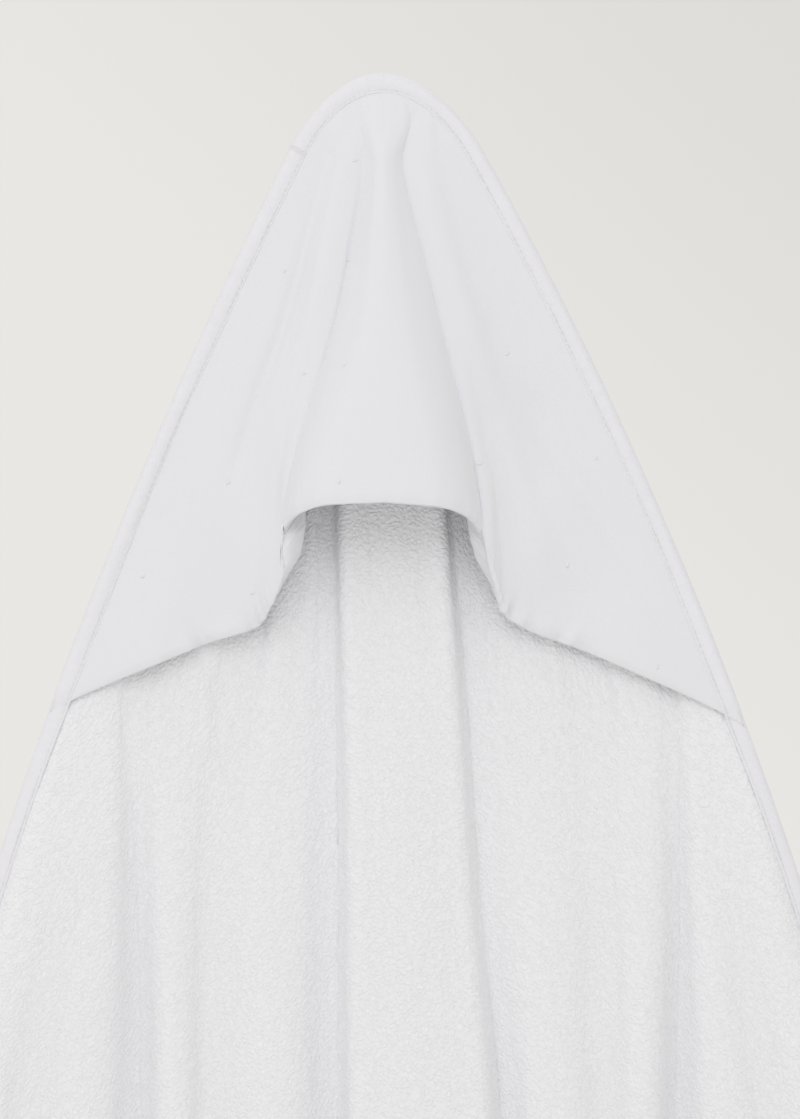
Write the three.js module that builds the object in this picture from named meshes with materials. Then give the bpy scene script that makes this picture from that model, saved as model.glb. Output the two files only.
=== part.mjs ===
// Hooded baby towel, hanging by the loop behind its hooded corner.
// Millimetres, +Z up, the hood faces -Y. The origin is the inside of the loop's top, where a hook holds it.
//
// Cloth is laid out flat first. A flat point is (down, across): down the towel's diagonal from its sharp
// corner, and across it, + to the right. hang() and hoodShape() say where that point of the cloth hangs.
import * as THREE from 'three';

const { clamp, lerp, smoothstep, degToRad, radToDeg } = THREE.MathUtils;

// ---- Driving dimensions -------------------------------------------------------------------------------
const TOWEL_SIDE = 1000;
const CORNER_RADIUS = 75;
const HOOD_LEG = 332; // how far down each side of the towel the hood is sewn
const HOOD_DEPTH = 226; // corner to the middle of the hood's mouth, flat
const BINDING_WIDTH = 7.5; // seen on each face
const BINDING_THICKNESS = 0.8;
const BODY_THICKNESS = 4;
const BODY_THICKNESS_AT_EDGE = 2; // squeezed inside the binding
const HOOD_THICKNESS = 0.7; // each of its two layers
const GAP = 0.3; // between pieces that touch
const THREAD_RADIUS = 0.3;
const STITCH_INSET = 6; // of the binding's seam from the towel's edge

const CORNER_ABOVE_HOOK = 40; // height of the flat cloth's sharp corner over the origin
const CLOTH_Y = -12; // the towel's edges hang this far in front of the hook
const TILT = 0.02; // the towel hangs a little lower on its right

// ---- The hanging shape --------------------------------------------------------------------------------
// "drop" is the height below the sharp corner.

// Half the hanging width of the towel at a drop: 1/EDGE_START is the edge's first slope outwards.
const EDGE_START = 1.56;
const EDGE_CLOSING = 0.00168;

function halfWidth(drop) {
  return drop / (EDGE_START + EDGE_CLOSING * drop) + 6 * Math.exp(-drop / 60);
}

function centreLine(drop) {
  return 8.5 * (1 - Math.exp(-drop / 150));
}

// The drop of an edge point that lies `along` the towel's side from the sharp corner.
function edgeDrop(along) {
  const gain = EDGE_START ** 2 / (6 * EDGE_CLOSING);
  let drop = along;
  for (let i = 0; i < 5; i++)
    drop = along - gain * (EDGE_START ** -3 - (EDGE_START + EDGE_CLOSING * drop) ** -3);
  return drop;
}

// A smooth curve through points, with no overshoot between them (Fritsch and Carlson's slopes).
function curveThrough(at, values) {
  const last = at.length - 1;
  const secant = at.slice(1).map((x, i) => (values[i + 1] - values[i]) / (x - at[i]));
  const slope = at.map((_, i) => {
    if (i === 0) return secant[0];
    if (i === last) return secant[last - 1];
    const [a, b] = [secant[i - 1], secant[i]];
    return a * b <= 0 ? 0 : (2 * a * b) / (a + b);
  });
  return (x) => {
    if (x <= at[0]) return values[0] + slope[0] * (x - at[0]);
    if (x >= at[last]) return values[last] + slope[last] * (x - at[last]);
    const i = at.findIndex((_, k) => x < at[k + 1]);
    const w = at[i + 1] - at[i];
    const t = (x - at[i]) / w;
    const ease = t * t * (3 - 2 * t);
    return lerp(values[i], values[i + 1], ease)
      + w * t * (1 - t) * (slope[i] * (1 - t) - slope[i + 1] * t);
  };
}

// The body's valleys, left to right: where each lies across, and how deep, at DROPS below the corner.
// sharp under 1 narrows the bottom of a valley.
const DROPS = [220, 300, 380, 480, 900];
const VALLEYS = [
  { across: [-98, -125, -133, -150, -222], depth: [1, -1, -6, -5, 32], sharp: 1 },
  { across: [-88, -107, -103, -101, -150], depth: [2, 2, 3, 5, 30], sharp: 0.8 },
  { across: [-52, -60, -72, -74, -88], depth: [6, 2, -2, -2, 26], sharp: 1 },
  { across: [-20, -18, -17, -17, -28], depth: [4, 2, 2, 4, 34], sharp: 0.85 },
  { across: [30, 36.5, 42, 51, 58], depth: [3, 0, -1, 2, 34], sharp: 0.75 },
  { across: [70, 94, 96, 98, 122], depth: [3, 1, -2, -2, 26], sharp: 1 },
  { across: [104, 126, 127, 125, 180], depth: [2, 2, 3, 5, 30], sharp: 0.8 },
  { across: [114, 141, 150, 168, 245], depth: [1, -1, -6, -5, 32], sharp: 1 },
];
const RIDGE_DEPTH = [2, -1, -7, -11, -34];
const COLUMN_DEPTH = [-8, -13, -14, -15, -36]; // the ridge at the middle stands further forward
const COLUMN = 4; // it lies before this valley
const FOLDS_START = 72; // drop at which the folds leave the corner
const SIDES_END = edgeDrop(TOWEL_SIDE - CORNER_RADIUS);
const LOWEST = TOWEL_SIDE * Math.SQRT2;

// How a fold line that is known at DROPS goes on up to the corner and down to the lowest point.
function foldLine(values, isDepth) {
  const curve = curveThrough(DROPS, values);
  const [top, bottom] = [DROPS[0], DROPS.at(-1)];
  return (drop) => {
    if (drop < top)
      return values[0] * (isDepth ? smoothstep(drop, FOLDS_START, top) : halfWidth(drop) / halfWidth(top));
    const value = curve(Math.min(drop, bottom));
    return isDepth ? value : value * (1 - 0.12 * smoothstep(drop, SIDES_END, LOWEST));
  };
}

const edgeLine = (side) => ({
  across: (drop) => side * halfWidth(Math.min(drop, SIDES_END)) + centreLine(drop),
  depth: () => 0,
  sharp: 1,
  valley: false,
});

// Ridges lie halfway between valleys, and wander a little more the lower they are. The column is a ridge
// that is flat between two shoulders.
function ridgesBetween(left, right, index) {
  const isColumn = index === COLUMN;
  const depth = foldLine(isColumn ? COLUMN_DEPTH : RIDGE_DEPTH, true);
  const low = (drop) => smoothstep(drop, 480, 900);
  const shoulder = (drop) => lerp(0.14, 0.27, low(drop));
  const behind = (drop) => lerp(1.2, 4, low(drop)) * smoothstep(drop, FOLDS_START, DROPS[0]);
  const lineAt = (share, back) => ({
    across: (drop) =>
      lerp(left.across(drop), right.across(drop), share(drop))
      + 6 * low(drop) * Math.sin(drop / 120 + 1.9 * index),
    depth: (drop) => depth(drop) + back(drop),
    sharp: 1,
    valley: false,
  });
  const ridge = lineAt(() => 0.5, () => 0);
  if (!isColumn) return [ridge];
  return [lineAt(shoulder, behind), ridge, lineAt((drop) => 1 - shoulder(drop), behind)];
}

const valleyLines = VALLEYS.map(({ across, depth, sharp }) => ({
  across: foldLine(across, false),
  depth: foldLine(depth, true),
  sharp,
  valley: true,
}));
const anchors = [edgeLine(-1), ...valleyLines, edgeLine(1)];
const foldLines = anchors.flatMap((line, i) =>
  i === 0 ? [line] : [...ridgesBetween(anchors[i - 1], line, i - 1), line]);

const roundness = curveThrough([0, 230, 340, 480, 900], [0.9, 0.9, 0.35, 0.4, 0.7]);

// A level cut through the hanging body: points across and in depth, and the length up to each.
const STEPS_A_FOLD = 12;

function cutAt(drop) {
  const [across, depth] = ['across', 'depth'].map((key) => foldLines.map((line) => line[key](drop)));
  const sweepMore = roundness(Math.min(drop, DROPS.at(-1))) / (2 * Math.PI);
  const points = [new THREE.Vector2(across[0], depth[0])];
  for (let k = 0; k < foldLines.length - 1; k++)
    for (let step = 1; step <= STEPS_A_FOLD; step++) {
      const t = step / STEPS_A_FOLD;
      let rise = t;
      if (foldLines[k].valley) rise = t ** foldLines[k].sharp;
      if (foldLines[k + 1].valley) rise = 1 - (1 - t) ** foldLines[k + 1].sharp;
      const sweep = t + sweepMore * Math.sin(2 * Math.PI * t);
      points.push(new THREE.Vector2(
        lerp(across[k], across[k + 1], sweep),
        lerp(depth[k], depth[k + 1], smoothstep(rise, 0, 1)),
      ));
    }
  const lengths = [0];
  points.slice(1).forEach((point, i) => lengths.push(lengths[i] + point.distanceTo(points[i])));
  return { points, lengths };
}

// Polar place on the flat cloth: distance from the sharp corner, and share of the corner's angle, from -1
// at the left edge to 1 at the right.
function polar(down, across) {
  return { reach: Math.hypot(down, across), share: Math.atan2(across, down) / (Math.PI / 4) };
}

function bodyDrop(reach, share) {
  return reach - (reach - edgeDrop(reach)) * Math.min(share * share, 1);
}

function placed(across, depth, drop) {
  return new THREE.Vector3(across, CLOTH_Y + depth, CORNER_ABOVE_HOOK - drop - TILT * across);
}

// Where the middle of the towel body's thickness hangs. Near an edge the cloth keeps its true width, and
// further in it shares out what the cut has.
const TRUE_STRIP = 25;

function hang(down, across) {
  const { reach, share } = polar(down, across);
  const drop = bodyDrop(reach, share);
  const { points, lengths } = cutAt(drop);
  const half = lengths.at(-1) / 2;
  const flatHalf = (reach * Math.PI) / 4;
  const strip = Math.min(TRUE_STRIP, flatHalf / 3);
  const kept = (inwards) => strip * (1 - Math.exp(-inwards / strip));
  const rest = (half - kept(flatHalf)) / (flatHalf - kept(flatHalf));
  const inwards = flatHalf * Math.max(1 - Math.abs(share), 0);
  const fromNearEdge = rest * inwards + (1 - rest) * kept(inwards);
  const run = share < 0 ? fromNearEdge : 2 * half - fromNearEdge;
  const i = clamp(lengths.findIndex((length) => run < length) - 1, -1, lengths.length - 2);
  const k = i < 0 ? lengths.length - 2 : i;
  const t = clamp((run - lengths[k]) / (lengths[k + 1] - lengths[k]), 0, 1);
  return placed(lerp(points[k].x, points[k + 1].x, t), lerp(points[k].y, points[k + 1].y, t), drop);
}

// The hood's lines: each keeps one angle of the flat corner, and is placed at HOOD_DROPS.
// The roof of the mouth stands forward between two pleats, and the arms lie back on the body.
const HOOD_DROPS = [60, 130, 215, 300];
const HOOD_LINES = [
  { angle: -39, across: [-28, -52, -79, -102], depth: [-4, -5, -6.5, -7] },
  { angle: -34.5, across: [-21, -38.5, -61, -77], depth: [-4, -4.5, -6, -7] }, // crease in the left arm
  { angle: -31, across: [-17.5, -32, -51, -53], depth: [-5, -7, -8, -8] },
  { angle: -27, across: [-14, -27, -43, -47], depth: [-6, -11, -14, -16] },
  { angle: -20, across: [-7.5, -20.5, -38.5, -41], depth: [-6, -12, -19, -25] },
  { angle: -15, across: [-4.5, -17.5, -37.5, -43], depth: [-5.5, -10, -19, -28] }, // left pleat
  { angle: -10, across: [-1.5, -10.5, -32.5, -39], depth: [-8, -19, -34, -47] },
  { angle: -5, across: [0, -4, -19, -22], depth: [-10, -27, -45, -60] },
  { angle: 0, across: [1.5, 2, 2, 2], depth: [-11, -29, -47.5, -63] },
  { angle: 5, across: [3, 8.5, 22, 26], depth: [-10, -27, -45, -60] },
  { angle: 10, across: [4.5, 17, 36, 42], depth: [-8, -19, -34, -47] },
  { angle: 15, across: [6.5, 24, 42, 47], depth: [-5.5, -10, -19, -28] }, // right pleat
  { angle: 20, across: [9, 27, 43.5, 48], depth: [-6, -12, -19, -25] },
  { angle: 27, across: [17, 33, 47, 52], depth: [-6, -11, -14, -14] },
  { angle: 31, across: [22, 41.5, 58, 65], depth: [-5, -8, -8.5, -8] },
  { angle: 35, across: [28, 51, 75, 92], depth: [-4.5, -6, -6.5, -7] },
  { angle: 39, across: [33, 62, 92, 116], depth: [-4, -5, -6.5, -7] },
];
const hoodLines = HOOD_LINES.map(({ angle, across, depth }) => ({
  angle,
  across: curveThrough(HOOD_DROPS, across),
  depth: curveThrough(HOOD_DROPS, depth),
}));
// The roof slopes forward, so its cloth reaches less far down than the body's.
const roofLift = curveThrough(
  [-45, -30, -20, -11.3, -6, 0, 6, 11.3, 20, 30, 45],
  [0, 0, -0.03, -0.066, -0.0785, -0.0757, -0.0805, -0.071, -0.036, -0.005, 0],
);
const ROOF_START = 45;

function hoodShape(down, across) {
  const { reach, share } = polar(down, across);
  const angle = clamp(share, -1, 1) * 45;
  const drop = bodyDrop(reach, share) + roofLift(angle) * Math.max(reach - ROOF_START, 0);
  const edge = (side) => side * halfWidth(drop) + centreLine(drop);
  const angles = [-45, ...hoodLines.map((line) => line.angle), 45];
  const acrossAt = [edge(-1), ...hoodLines.map((line) => line.across(drop)), edge(1)];
  const depthAt = [-4, ...hoodLines.map((line) => line.depth(drop)), -4];
  return placed(curveThrough(angles, acrossAt)(angle), curveThrough(angles, depthAt)(angle), drop);
}

// ---- The flat outline ---------------------------------------------------------------------------------
// Flat points measured from the two sides that meet at the sharp corner: [from the left, from the right].
function fromSides(point) {
  return [(point.x + point.y) * Math.SQRT1_2, (point.x - point.y) * Math.SQRT1_2];
}

// The inner outline is the towel's rounded square without the strip under the binding.
const INNER_RADIUS = CORNER_RADIUS - BINDING_WIDTH;
const INNER_FAR = TOWEL_SIDE - BINDING_WIDTH - CORNER_RADIUS; // where its far corners start to round
const INNER_START = BINDING_WIDTH * Math.SQRT2;

// First and last distance from the inner outline's own sharp corner, in a direction.
function innerReach(angle) {
  const fromSide = Math.PI / 4 - Math.abs(angle);
  const [c, s] = [Math.cos(fromSide), Math.sin(fromSide)];
  const first = INNER_RADIUS * (c + s - Math.sqrt(Math.max(2 * c * s, 0)));
  const farCorner = (middle) => {
    const along = INNER_FAR * c + middle * s;
    return along + Math.sqrt(Math.max(along ** 2 - INNER_FAR ** 2 - middle ** 2 + INNER_RADIUS ** 2, 0));
  };
  const last = (INNER_FAR + INNER_RADIUS) / c;
  if (last * s < INNER_RADIUS) return [first, farCorner(INNER_RADIUS)];
  if (last * s > INNER_FAR) return [first, farCorner(INNER_FAR)];
  return [first, last];
}

// From a flat point to the nearest point of the square whose corners are the centres of the roundings.
function awayFromCore(point) {
  return fromSides(point).map((v) => v - clamp(v, CORNER_RADIUS, TOWEL_SIDE - CORNER_RADIUS));
}

// How far a flat point lies inside the towel's edge, up to the corner radius.
function fromEdge(point) {
  return CORNER_RADIUS - Math.hypot(...awayFromCore(point));
}

// The direction out of the towel, for a flat point near its edge.
function outwards(point) {
  const [left, right] = awayFromCore(point);
  return new THREE.Vector2(left + right, left - right).normalize();
}

// ---- Cloth grids --------------------------------------------------------------------------------------
// Columns fan out from the sharp corner to the far hem, closer together round its corners. Their angles.
const CORNER_STEPS = 4;
const HEM_STEPS = 36;
const fromSideTo = (inwards, along) => Math.atan2(inwards, along);
const halfFan = [
  ...Array.from({ length: CORNER_STEPS }, (_, i) => {
    const turn = (Math.PI * i) / (2 * CORNER_STEPS);
    return fromSideTo(INNER_RADIUS * (1 - Math.cos(turn)), INNER_FAR + INNER_RADIUS * Math.sin(turn));
  }),
  ...Array.from({ length: HEM_STEPS }, (_, i) =>
    fromSideTo(lerp(INNER_RADIUS, INNER_FAR, i / HEM_STEPS), INNER_FAR + INNER_RADIUS)),
  (fromSideTo(INNER_FAR, INNER_FAR + INNER_RADIUS) + Math.PI / 4) / 2,
].map((angle) => angle - Math.PI / 4);
const columns = [...halfFan, 0, ...halfFan.map((angle) => -angle).reverse()];

// Rows, by where they meet the sides, measured from the sharp corner. The hood ends on one of them.
const SIDE_ROWS = [CORNER_RADIUS, 102, 135, 170, 210, 250, 290, HOOD_LEG, 370, 420, 480, 550, 640, 740, 835,
  TOWEL_SIDE - CORNER_RADIUS];
const HOOD_ROWS = SIDE_ROWS.indexOf(HOOD_LEG);

// Distance from the inner outline's sharp corner to the hood's mouth, cut in a little at its middle.
const mouthEnd = INNER_START + (HOOD_LEG - BINDING_WIDTH) * Math.SQRT1_2;
const mouthDown = curveThrough([0, 11.3, 20, 31, 45], [HOOD_DEPTH, 230, 236.3, 241, mouthEnd]);

function mouthReach(angle) {
  return (mouthDown(Math.abs(radToDeg(angle))) - INNER_START) / Math.cos(angle);
}

// A grid of flat points as one list, row after row. lastReach says where the last row lies at an angle.
function flatGrid(sideRows, lastReach) {
  const [top, end] = [sideRows[0], sideRows.at(-1)];
  const points = sideRows.flatMap((side) => columns.map((angle) => {
    const reach = lerp(innerReach(angle)[0], lastReach(angle), (side - top) / (end - top));
    return new THREE.Vector2(INNER_START + reach * Math.cos(angle), reach * Math.sin(angle));
  }));
  const [rows, cols] = [sideRows.length - 1, columns.length - 1];
  const id = (row, col) => row * (cols + 1) + col;
  const along = Array.from({ length: cols }, (_, i) => i);
  const down = Array.from({ length: rows }, (_, j) => j);
  return {
    points,
    rows,
    cols,
    id,
    top: along.map((i) => id(0, i)),
    right: down.map((j) => id(j, cols)),
    bottom: along.map((i) => id(rows, cols - i)),
    left: down.map((j) => id(rows - j, 0)),
  };
}

const bodyGrid = flatGrid(SIDE_ROWS, (angle) => innerReach(angle)[1]);
const hoodGrid = flatGrid(SIDE_ROWS.slice(0, HOOD_ROWS + 1), mouthReach);

// ---- Hanging surfaces ---------------------------------------------------------------------------------
// The body's front normal at a flat point, measured a little inside the cloth's edge.
function frontNormal(point) {
  const [step, inset] = [1.5, 3];
  const middle = new THREE.Vector2(TOWEL_SIDE * Math.SQRT1_2, 0);
  const inside = point.clone().add(middle.sub(point).setLength(inset));
  const at = (down, across) => hang(inside.x + down, inside.y + across);
  return at(step, 0).sub(at(-step, 0)).cross(at(0, step).sub(at(0, -step))).normalize();
}

// The body is squeezed under the binding and full further in.
function halfBody(point) {
  return lerp(BODY_THICKNESS_AT_EDGE, BODY_THICKNESS, smoothstep(fromEdge(point), BINDING_WIDTH, 30)) / 2;
}

// The hood lies on the body where it is sewn in, and leaves it further from the seam.
function leavingSeam(point) {
  return smoothstep(fromEdge(point), BINDING_WIDTH, 24);
}

// From the hood's middle surface to the middle of either layer: the layers lie close only at the seam.
const HOOD_LOFT = 0.8;

function halfHood(point) {
  return (HOOD_THICKNESS + GAP) / 2 + HOOD_LOFT * smoothstep(fromEdge(point), BINDING_WIDTH, 25);
}

// The hood's middle surface where it rests on the body.
function overBody(point, middle, normal) {
  const lift = HOOD_LOFT * smoothstep(fromEdge(point), BINDING_WIDTH, 15);
  const offset = halfBody(point) + GAP + lift + HOOD_THICKNESS / 2 + halfHood(point);
  return middle.clone().addScaledVector(normal, offset);
}

// ---- Solids -------------------------------------------------------------------------------------------
function indexed(points, index) {
  const geometry = new THREE.BufferGeometry().setFromPoints(points);
  geometry.setIndex(index);
  geometry.computeVertexNormals();
  return geometry;
}

// The flat points and faces of a sheet on a grid, widened by the strip that lies under the binding along the
// walk `bound`, which goes clockwise round the grid. Where the binding doesn't go all round, `free` is the
// rest of the walk. strip[n] is the widened point beside bound[n].
function flatSheet(grid, bound, free) {
  const closed = free.length === 0;
  const strip = bound.map((_, n) => grid.points.length + n);
  const outer = bound.map((k) =>
    grid.points[k].clone().addScaledVector(outwards(grid.points[k]), BINDING_WIDTH));
  const faces = [];
  for (let j = 0; j < grid.rows; j++)
    for (let i = 0; i < grid.cols; i++) {
      const [a, b] = [grid.id(j, i), grid.id(j + 1, i)];
      faces.push([a, b, b + 1], [a, b + 1, a + 1]);
    }
  for (let n = 0; n < (closed ? bound.length : bound.length - 1); n++) {
    const m = (n + 1) % bound.length;
    faces.push([strip[n], bound[n], strip[m]], [bound[n], bound[m], strip[m]]);
  }
  return { points: [...grid.points, ...outer], faces, bound, strip, outline: [...strip, ...free] };
}

// Each vertex's front normal, taken over the faces round it.
function frontNormals(points, faces) {
  const normals = indexed(points, faces.flat()).getAttribute('normal');
  return points.map((_, i) => new THREE.Vector3().fromBufferAttribute(normals, i));
}

// A sheet with a thickness: layer(point) gives the front's and the back's offset from the middle surface.
function clothSheet({ points, faces, outline }, middles, normals, layer) {
  const size = points.length;
  const layers = points.map((point, i) =>
    layer(point).map((offset) => middles[i].clone().addScaledVector(normals[i], offset)));
  const index = faces.flatMap(([a, b, c]) => [a, b, c, size + a, size + c, size + b]);
  outline.forEach((a, n) => {
    const b = outline[(n + 1) % outline.length];
    index.push(a, b, size + b, a, size + b, size + a);
  });
  return indexed([...layers.map((pair) => pair[0]), ...layers.map((pair) => pair[1])], index);
}

// A tube through rings of points, closed on itself or capped at its ends. crossed(i) says which sides of the
// ring have their diagonals the other way, so that they lie flat on the sheet beside them.
function loft(rings, closed, crossed = () => false) {
  const size = rings[0].length;
  const index = [];
  for (let k = 0; k < (closed ? rings.length : rings.length - 1); k++) {
    const next = (k + 1) % rings.length;
    for (let i = 0; i < size; i++) {
      const j = (i + 1) % size;
      const [a, b, c, d] = [k * size + i, k * size + j, next * size + j, next * size + i];
      if (crossed(i)) index.push(a, b, d, b, c, d);
      else index.push(a, b, c, a, c, d);
    }
  }
  const end = (rings.length - 1) * size;
  if (!closed)
    for (let i = 1; i < size - 1; i++) index.push(0, i + 1, i, end, end + i, end + i + 1);
  return indexed(rings.flat(), index);
}

// A ring of points round a centre, in the plane of two directions.
function ring(centre, across, over, width, height, count) {
  return Array.from({ length: count }, (_, i) => {
    const turn = (2 * Math.PI * i) / count;
    return centre.clone()
      .addScaledVector(across, (Math.cos(turn) * width) / 2)
      .addScaledVector(over, (Math.sin(turn) * height) / 2);
  });
}

// ---- Towel body and hood ------------------------------------------------------------------------------
const bodyRim = [...bodyGrid.top, ...bodyGrid.right, ...bodyGrid.bottom, ...bodyGrid.left];
const bodySheet = flatSheet(bodyGrid, bodyRim, []);
const bodyMiddles = bodySheet.points.map((point) => hang(point.x, point.y));
const bodyNormals = frontNormals(bodyMiddles, bodySheet.faces);

function towelBody() {
  return clothSheet(bodySheet, bodyMiddles, bodyNormals, (point) => [halfBody(point), -halfBody(point)]);
}

const { left, top, right, bottom } = hoodGrid;
const hoodSheet = flatSheet(hoodGrid, [...left, ...top, ...right, bottom[0]], [...bottom, left[0]]);

// The hood's rim and strip lie on the body's own; sewnTo(i) is the body's vertex under the hood's vertex i,
// or under the nearest of its rim.
const sewnStrip = new Map(
  hoodSheet.bound.map((k, n) => [hoodSheet.strip[n], bodySheet.strip[bodyRim.indexOf(k)]]),
);
const sewnRim = new Set(hoodSheet.bound);
const isSewn = (i) => sewnStrip.has(i) || sewnRim.has(i);

function sewnTo(i) {
  if (isSewn(i)) return sewnStrip.get(i) ?? i;
  const col = i % columns.length;
  return i - col + (col < columns.length / 2 ? 0 : hoodGrid.cols);
}

// Near the seam the hood faces the same way as the body under it.
function towardsSeam(i, normal) {
  const share = isSewn(i) ? 0 : smoothstep(fromEdge(hoodSheet.points[i]), BINDING_WIDTH, 14);
  return bodyNormals[sewnTo(i)].clone().lerp(normal, share).normalize();
}

const hoodMiddles = hoodSheet.points.map((point, i) => {
  if (isSewn(i)) return overBody(point, bodyMiddles[sewnTo(i)], bodyNormals[sewnTo(i)]);
  return overBody(point, hang(point.x, point.y), towardsSeam(i, frontNormal(point)))
    .lerp(hoodShape(point.x, point.y), leavingSeam(point));
});
const hoodNormals = frontNormals(hoodMiddles, hoodSheet.faces).map((normal, i) => towardsSeam(i, normal));

function hoodLayer(side) {
  return clothSheet(hoodSheet, hoodMiddles, hoodNormals, (point) =>
    [1, -1].map((face) => side * halfHood(point) + (face * HOOD_THICKNESS) / 2));
}

// ---- Edge binding and its seam ------------------------------------------------------------------------
const BODY_IN_BINDING = BODY_THICKNESS_AT_EDGE / 2 + GAP;
const HOOD_IN_BINDING = BODY_IN_BINDING + 2 * (HOOD_THICKNESS + GAP);

// One place on the binding for each point of the body's rim: the cloth's middle under the binding's inner
// edge and at the towel's edge, the front normal, the way out, and the room the layers take in front.
const bindingPlaces = bodyRim.map((inner, n) => {
  const edge = bodySheet.strip[n];
  const hooded = Math.max(...fromSides(bodySheet.points[edge])) <= HOOD_LEG + GAP;
  return {
    inner: bodyMiddles[inner],
    edge: bodyMiddles[edge],
    innerNormal: bodyNormals[inner],
    edgeNormal: bodyNormals[edge],
    out: bodyMiddles[edge].clone().sub(bodyMiddles[inner]).normalize(),
    room: hooded ? HOOD_IN_BINDING : BODY_IN_BINDING,
  };
});

// A point on one face of the binding, on the line of its seam.
const SEAM_SHARE = 1 - STITCH_INSET / BINDING_WIDTH;

function onSeam({ inner, edge, innerNormal, edgeNormal }, offset) {
  const from = inner.clone().addScaledVector(innerNormal, offset);
  return from.lerp(edge.clone().addScaledVector(edgeNormal, offset), SEAM_SHARE);
}

function edgeBinding() {
  const beside = 3 * GAP; // clear of the cloth's edge
  const wrap = beside + BINDING_THICKNESS;
  const inwardFaces = [4, 11, 12];
  return loft(bindingPlaces.map((place) => {
    const { inner, edge, innerNormal, edgeNormal, out, room } = place;
    const atInner = (offset) => inner.clone().addScaledVector(innerNormal, offset);
    const atEdge = (beyond, offset) =>
      edge.clone().addScaledVector(out, beyond).addScaledVector(edgeNormal, offset);
    const [front, back] = [room + BINDING_THICKNESS, -BODY_IN_BINDING - BINDING_THICKNESS];
    return [
      atInner(room), atEdge(0, room), atEdge(beside, room),
      atEdge(beside, -BODY_IN_BINDING), atEdge(0, -BODY_IN_BINDING), atInner(-BODY_IN_BINDING),
      atInner(back), onSeam(place, back), atEdge(0, back), atEdge(wrap, -BODY_IN_BINDING / 2),
      atEdge(wrap, room / 2), atEdge(0, front), onSeam(place, front), atInner(front),
    ];
  }), true, (i) => inwardFaces.includes(i));
}

// The thread that shows on one face of the binding, all round.
function bindingThread(side) {
  return loft(bindingPlaces.map((place) => {
    const face = (side > 0 ? place.room : BODY_IN_BINDING) + BINDING_THICKNESS;
    const normal = place.innerNormal.clone().lerp(place.edgeNormal, SEAM_SHARE).multiplyScalar(side);
    const centre = onSeam(place, side * (face + 3 * GAP + THREAD_RADIUS));
    const across = place.out.clone().multiplyScalar(side);
    return ring(centre, across, normal, 2 * THREAD_RADIUS, 2 * THREAD_RADIUS, 3);
  }), true);
}

// ---- Thread of the seam between the hood's two layers, just inside its mouth ----------------------------
const MOUTH_SEAM_INSET = 4;
const MOUTH_SEAM_CLEAR = 8; // columns at each end where the layers lie too close for it

function mouthThread() {
  const { cols, rows, id, points } = hoodGrid;
  const centres = columns.slice(MOUTH_SEAM_CLEAR, cols + 1 - MOUTH_SEAM_CLEAR).map((_, n) => {
    const last = id(rows, n + MOUTH_SEAM_CLEAR);
    const before = id(rows - 1, n + MOUTH_SEAM_CLEAR);
    const share = MOUTH_SEAM_INSET / points[last].distanceTo(points[before]);
    return hoodMiddles[last].clone().lerp(hoodMiddles[before], share);
  });
  return loft(centres.map((centre, n) => {
    const ahead = centres[Math.min(n + 1, centres.length - 1)].clone()
      .sub(centres[Math.max(n - 1, 0)]).normalize();
    const up = new THREE.Vector3(0, 0, 1).cross(ahead).normalize();
    return ring(centre, up, ahead.clone().cross(up), THREAD_RADIUS, THREAD_RADIUS, 4);
  }), false);
}

// ---- Hanging loop and its bar tacks ---------------------------------------------------------------------
const LOOP_WIDTH = 5;
const LOOP_THICKNESS = 2.4;
const LOOP_BASE = { down: 70, across: 14 }; // flat place of its right end
const LOOP_LEG = 8.5; // half the distance between its legs
const TACK_RADIUS = 0.8;
const TACK_LENGTH = 5;

// A place on the back of the body, `clear` behind its face.
function behindBody(down, across, clear) {
  const point = new THREE.Vector2(down, across);
  return hang(down, across).addScaledVector(frontNormal(point), -halfBody(point) - clear);
}

const loopBases = [-1, 1].map((side) =>
  behindBody(LOOP_BASE.down, side * LOOP_BASE.across, GAP + LOOP_THICKNESS / 2 + 0.6));
const loopHinge = loopBases[0].clone().add(loopBases[1]).multiplyScalar(0.5);

function hangingLoop() {
  const top = LOOP_WIDTH / 2;
  const half = [[1, -9, 0.25], [0.83, -3, 0.1], [0.45, 1.2, 0.02]];
  const shoulder = (side) => half.map(([share, z, lean]) =>
    new THREE.Vector3(side * LOOP_LEG * share, loopHinge.y * lean, z));
  const path = new THREE.CatmullRomCurve3([
    loopBases[0], ...shoulder(-1), new THREE.Vector3(0, 0, top), ...shoulder(1).reverse(), loopBases[1],
  ], false, 'centripetal');
  const plane = new THREE.Vector3(0, -loopHinge.z, loopHinge.y).normalize();
  const steps = 26;
  return loft(Array.from({ length: steps + 1 }, (_, i) => {
    const across = path.getTangentAt(i / steps).cross(plane).normalize();
    return ring(path.getPointAt(i / steps), plane, across, LOOP_THICKNESS, LOOP_WIDTH, 8);
  }), false);
}

// Both bar tacks lie just under the loop's ends.
function placeTack(mesh, side) {
  const drop = LOOP_WIDTH / 2 + TACK_RADIUS;
  const place = behindBody(LOOP_BASE.down + drop, side * LOOP_BASE.across, GAP + TACK_RADIUS);
  mesh.position.copy(place);
  mesh.rotation.z = Math.PI / 2;
}

// ---- Care label -----------------------------------------------------------------------------------------
const LABEL = { length: 36, width: 24, thickness: 0.8, alongSide: 600, lean: 22 };

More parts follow.
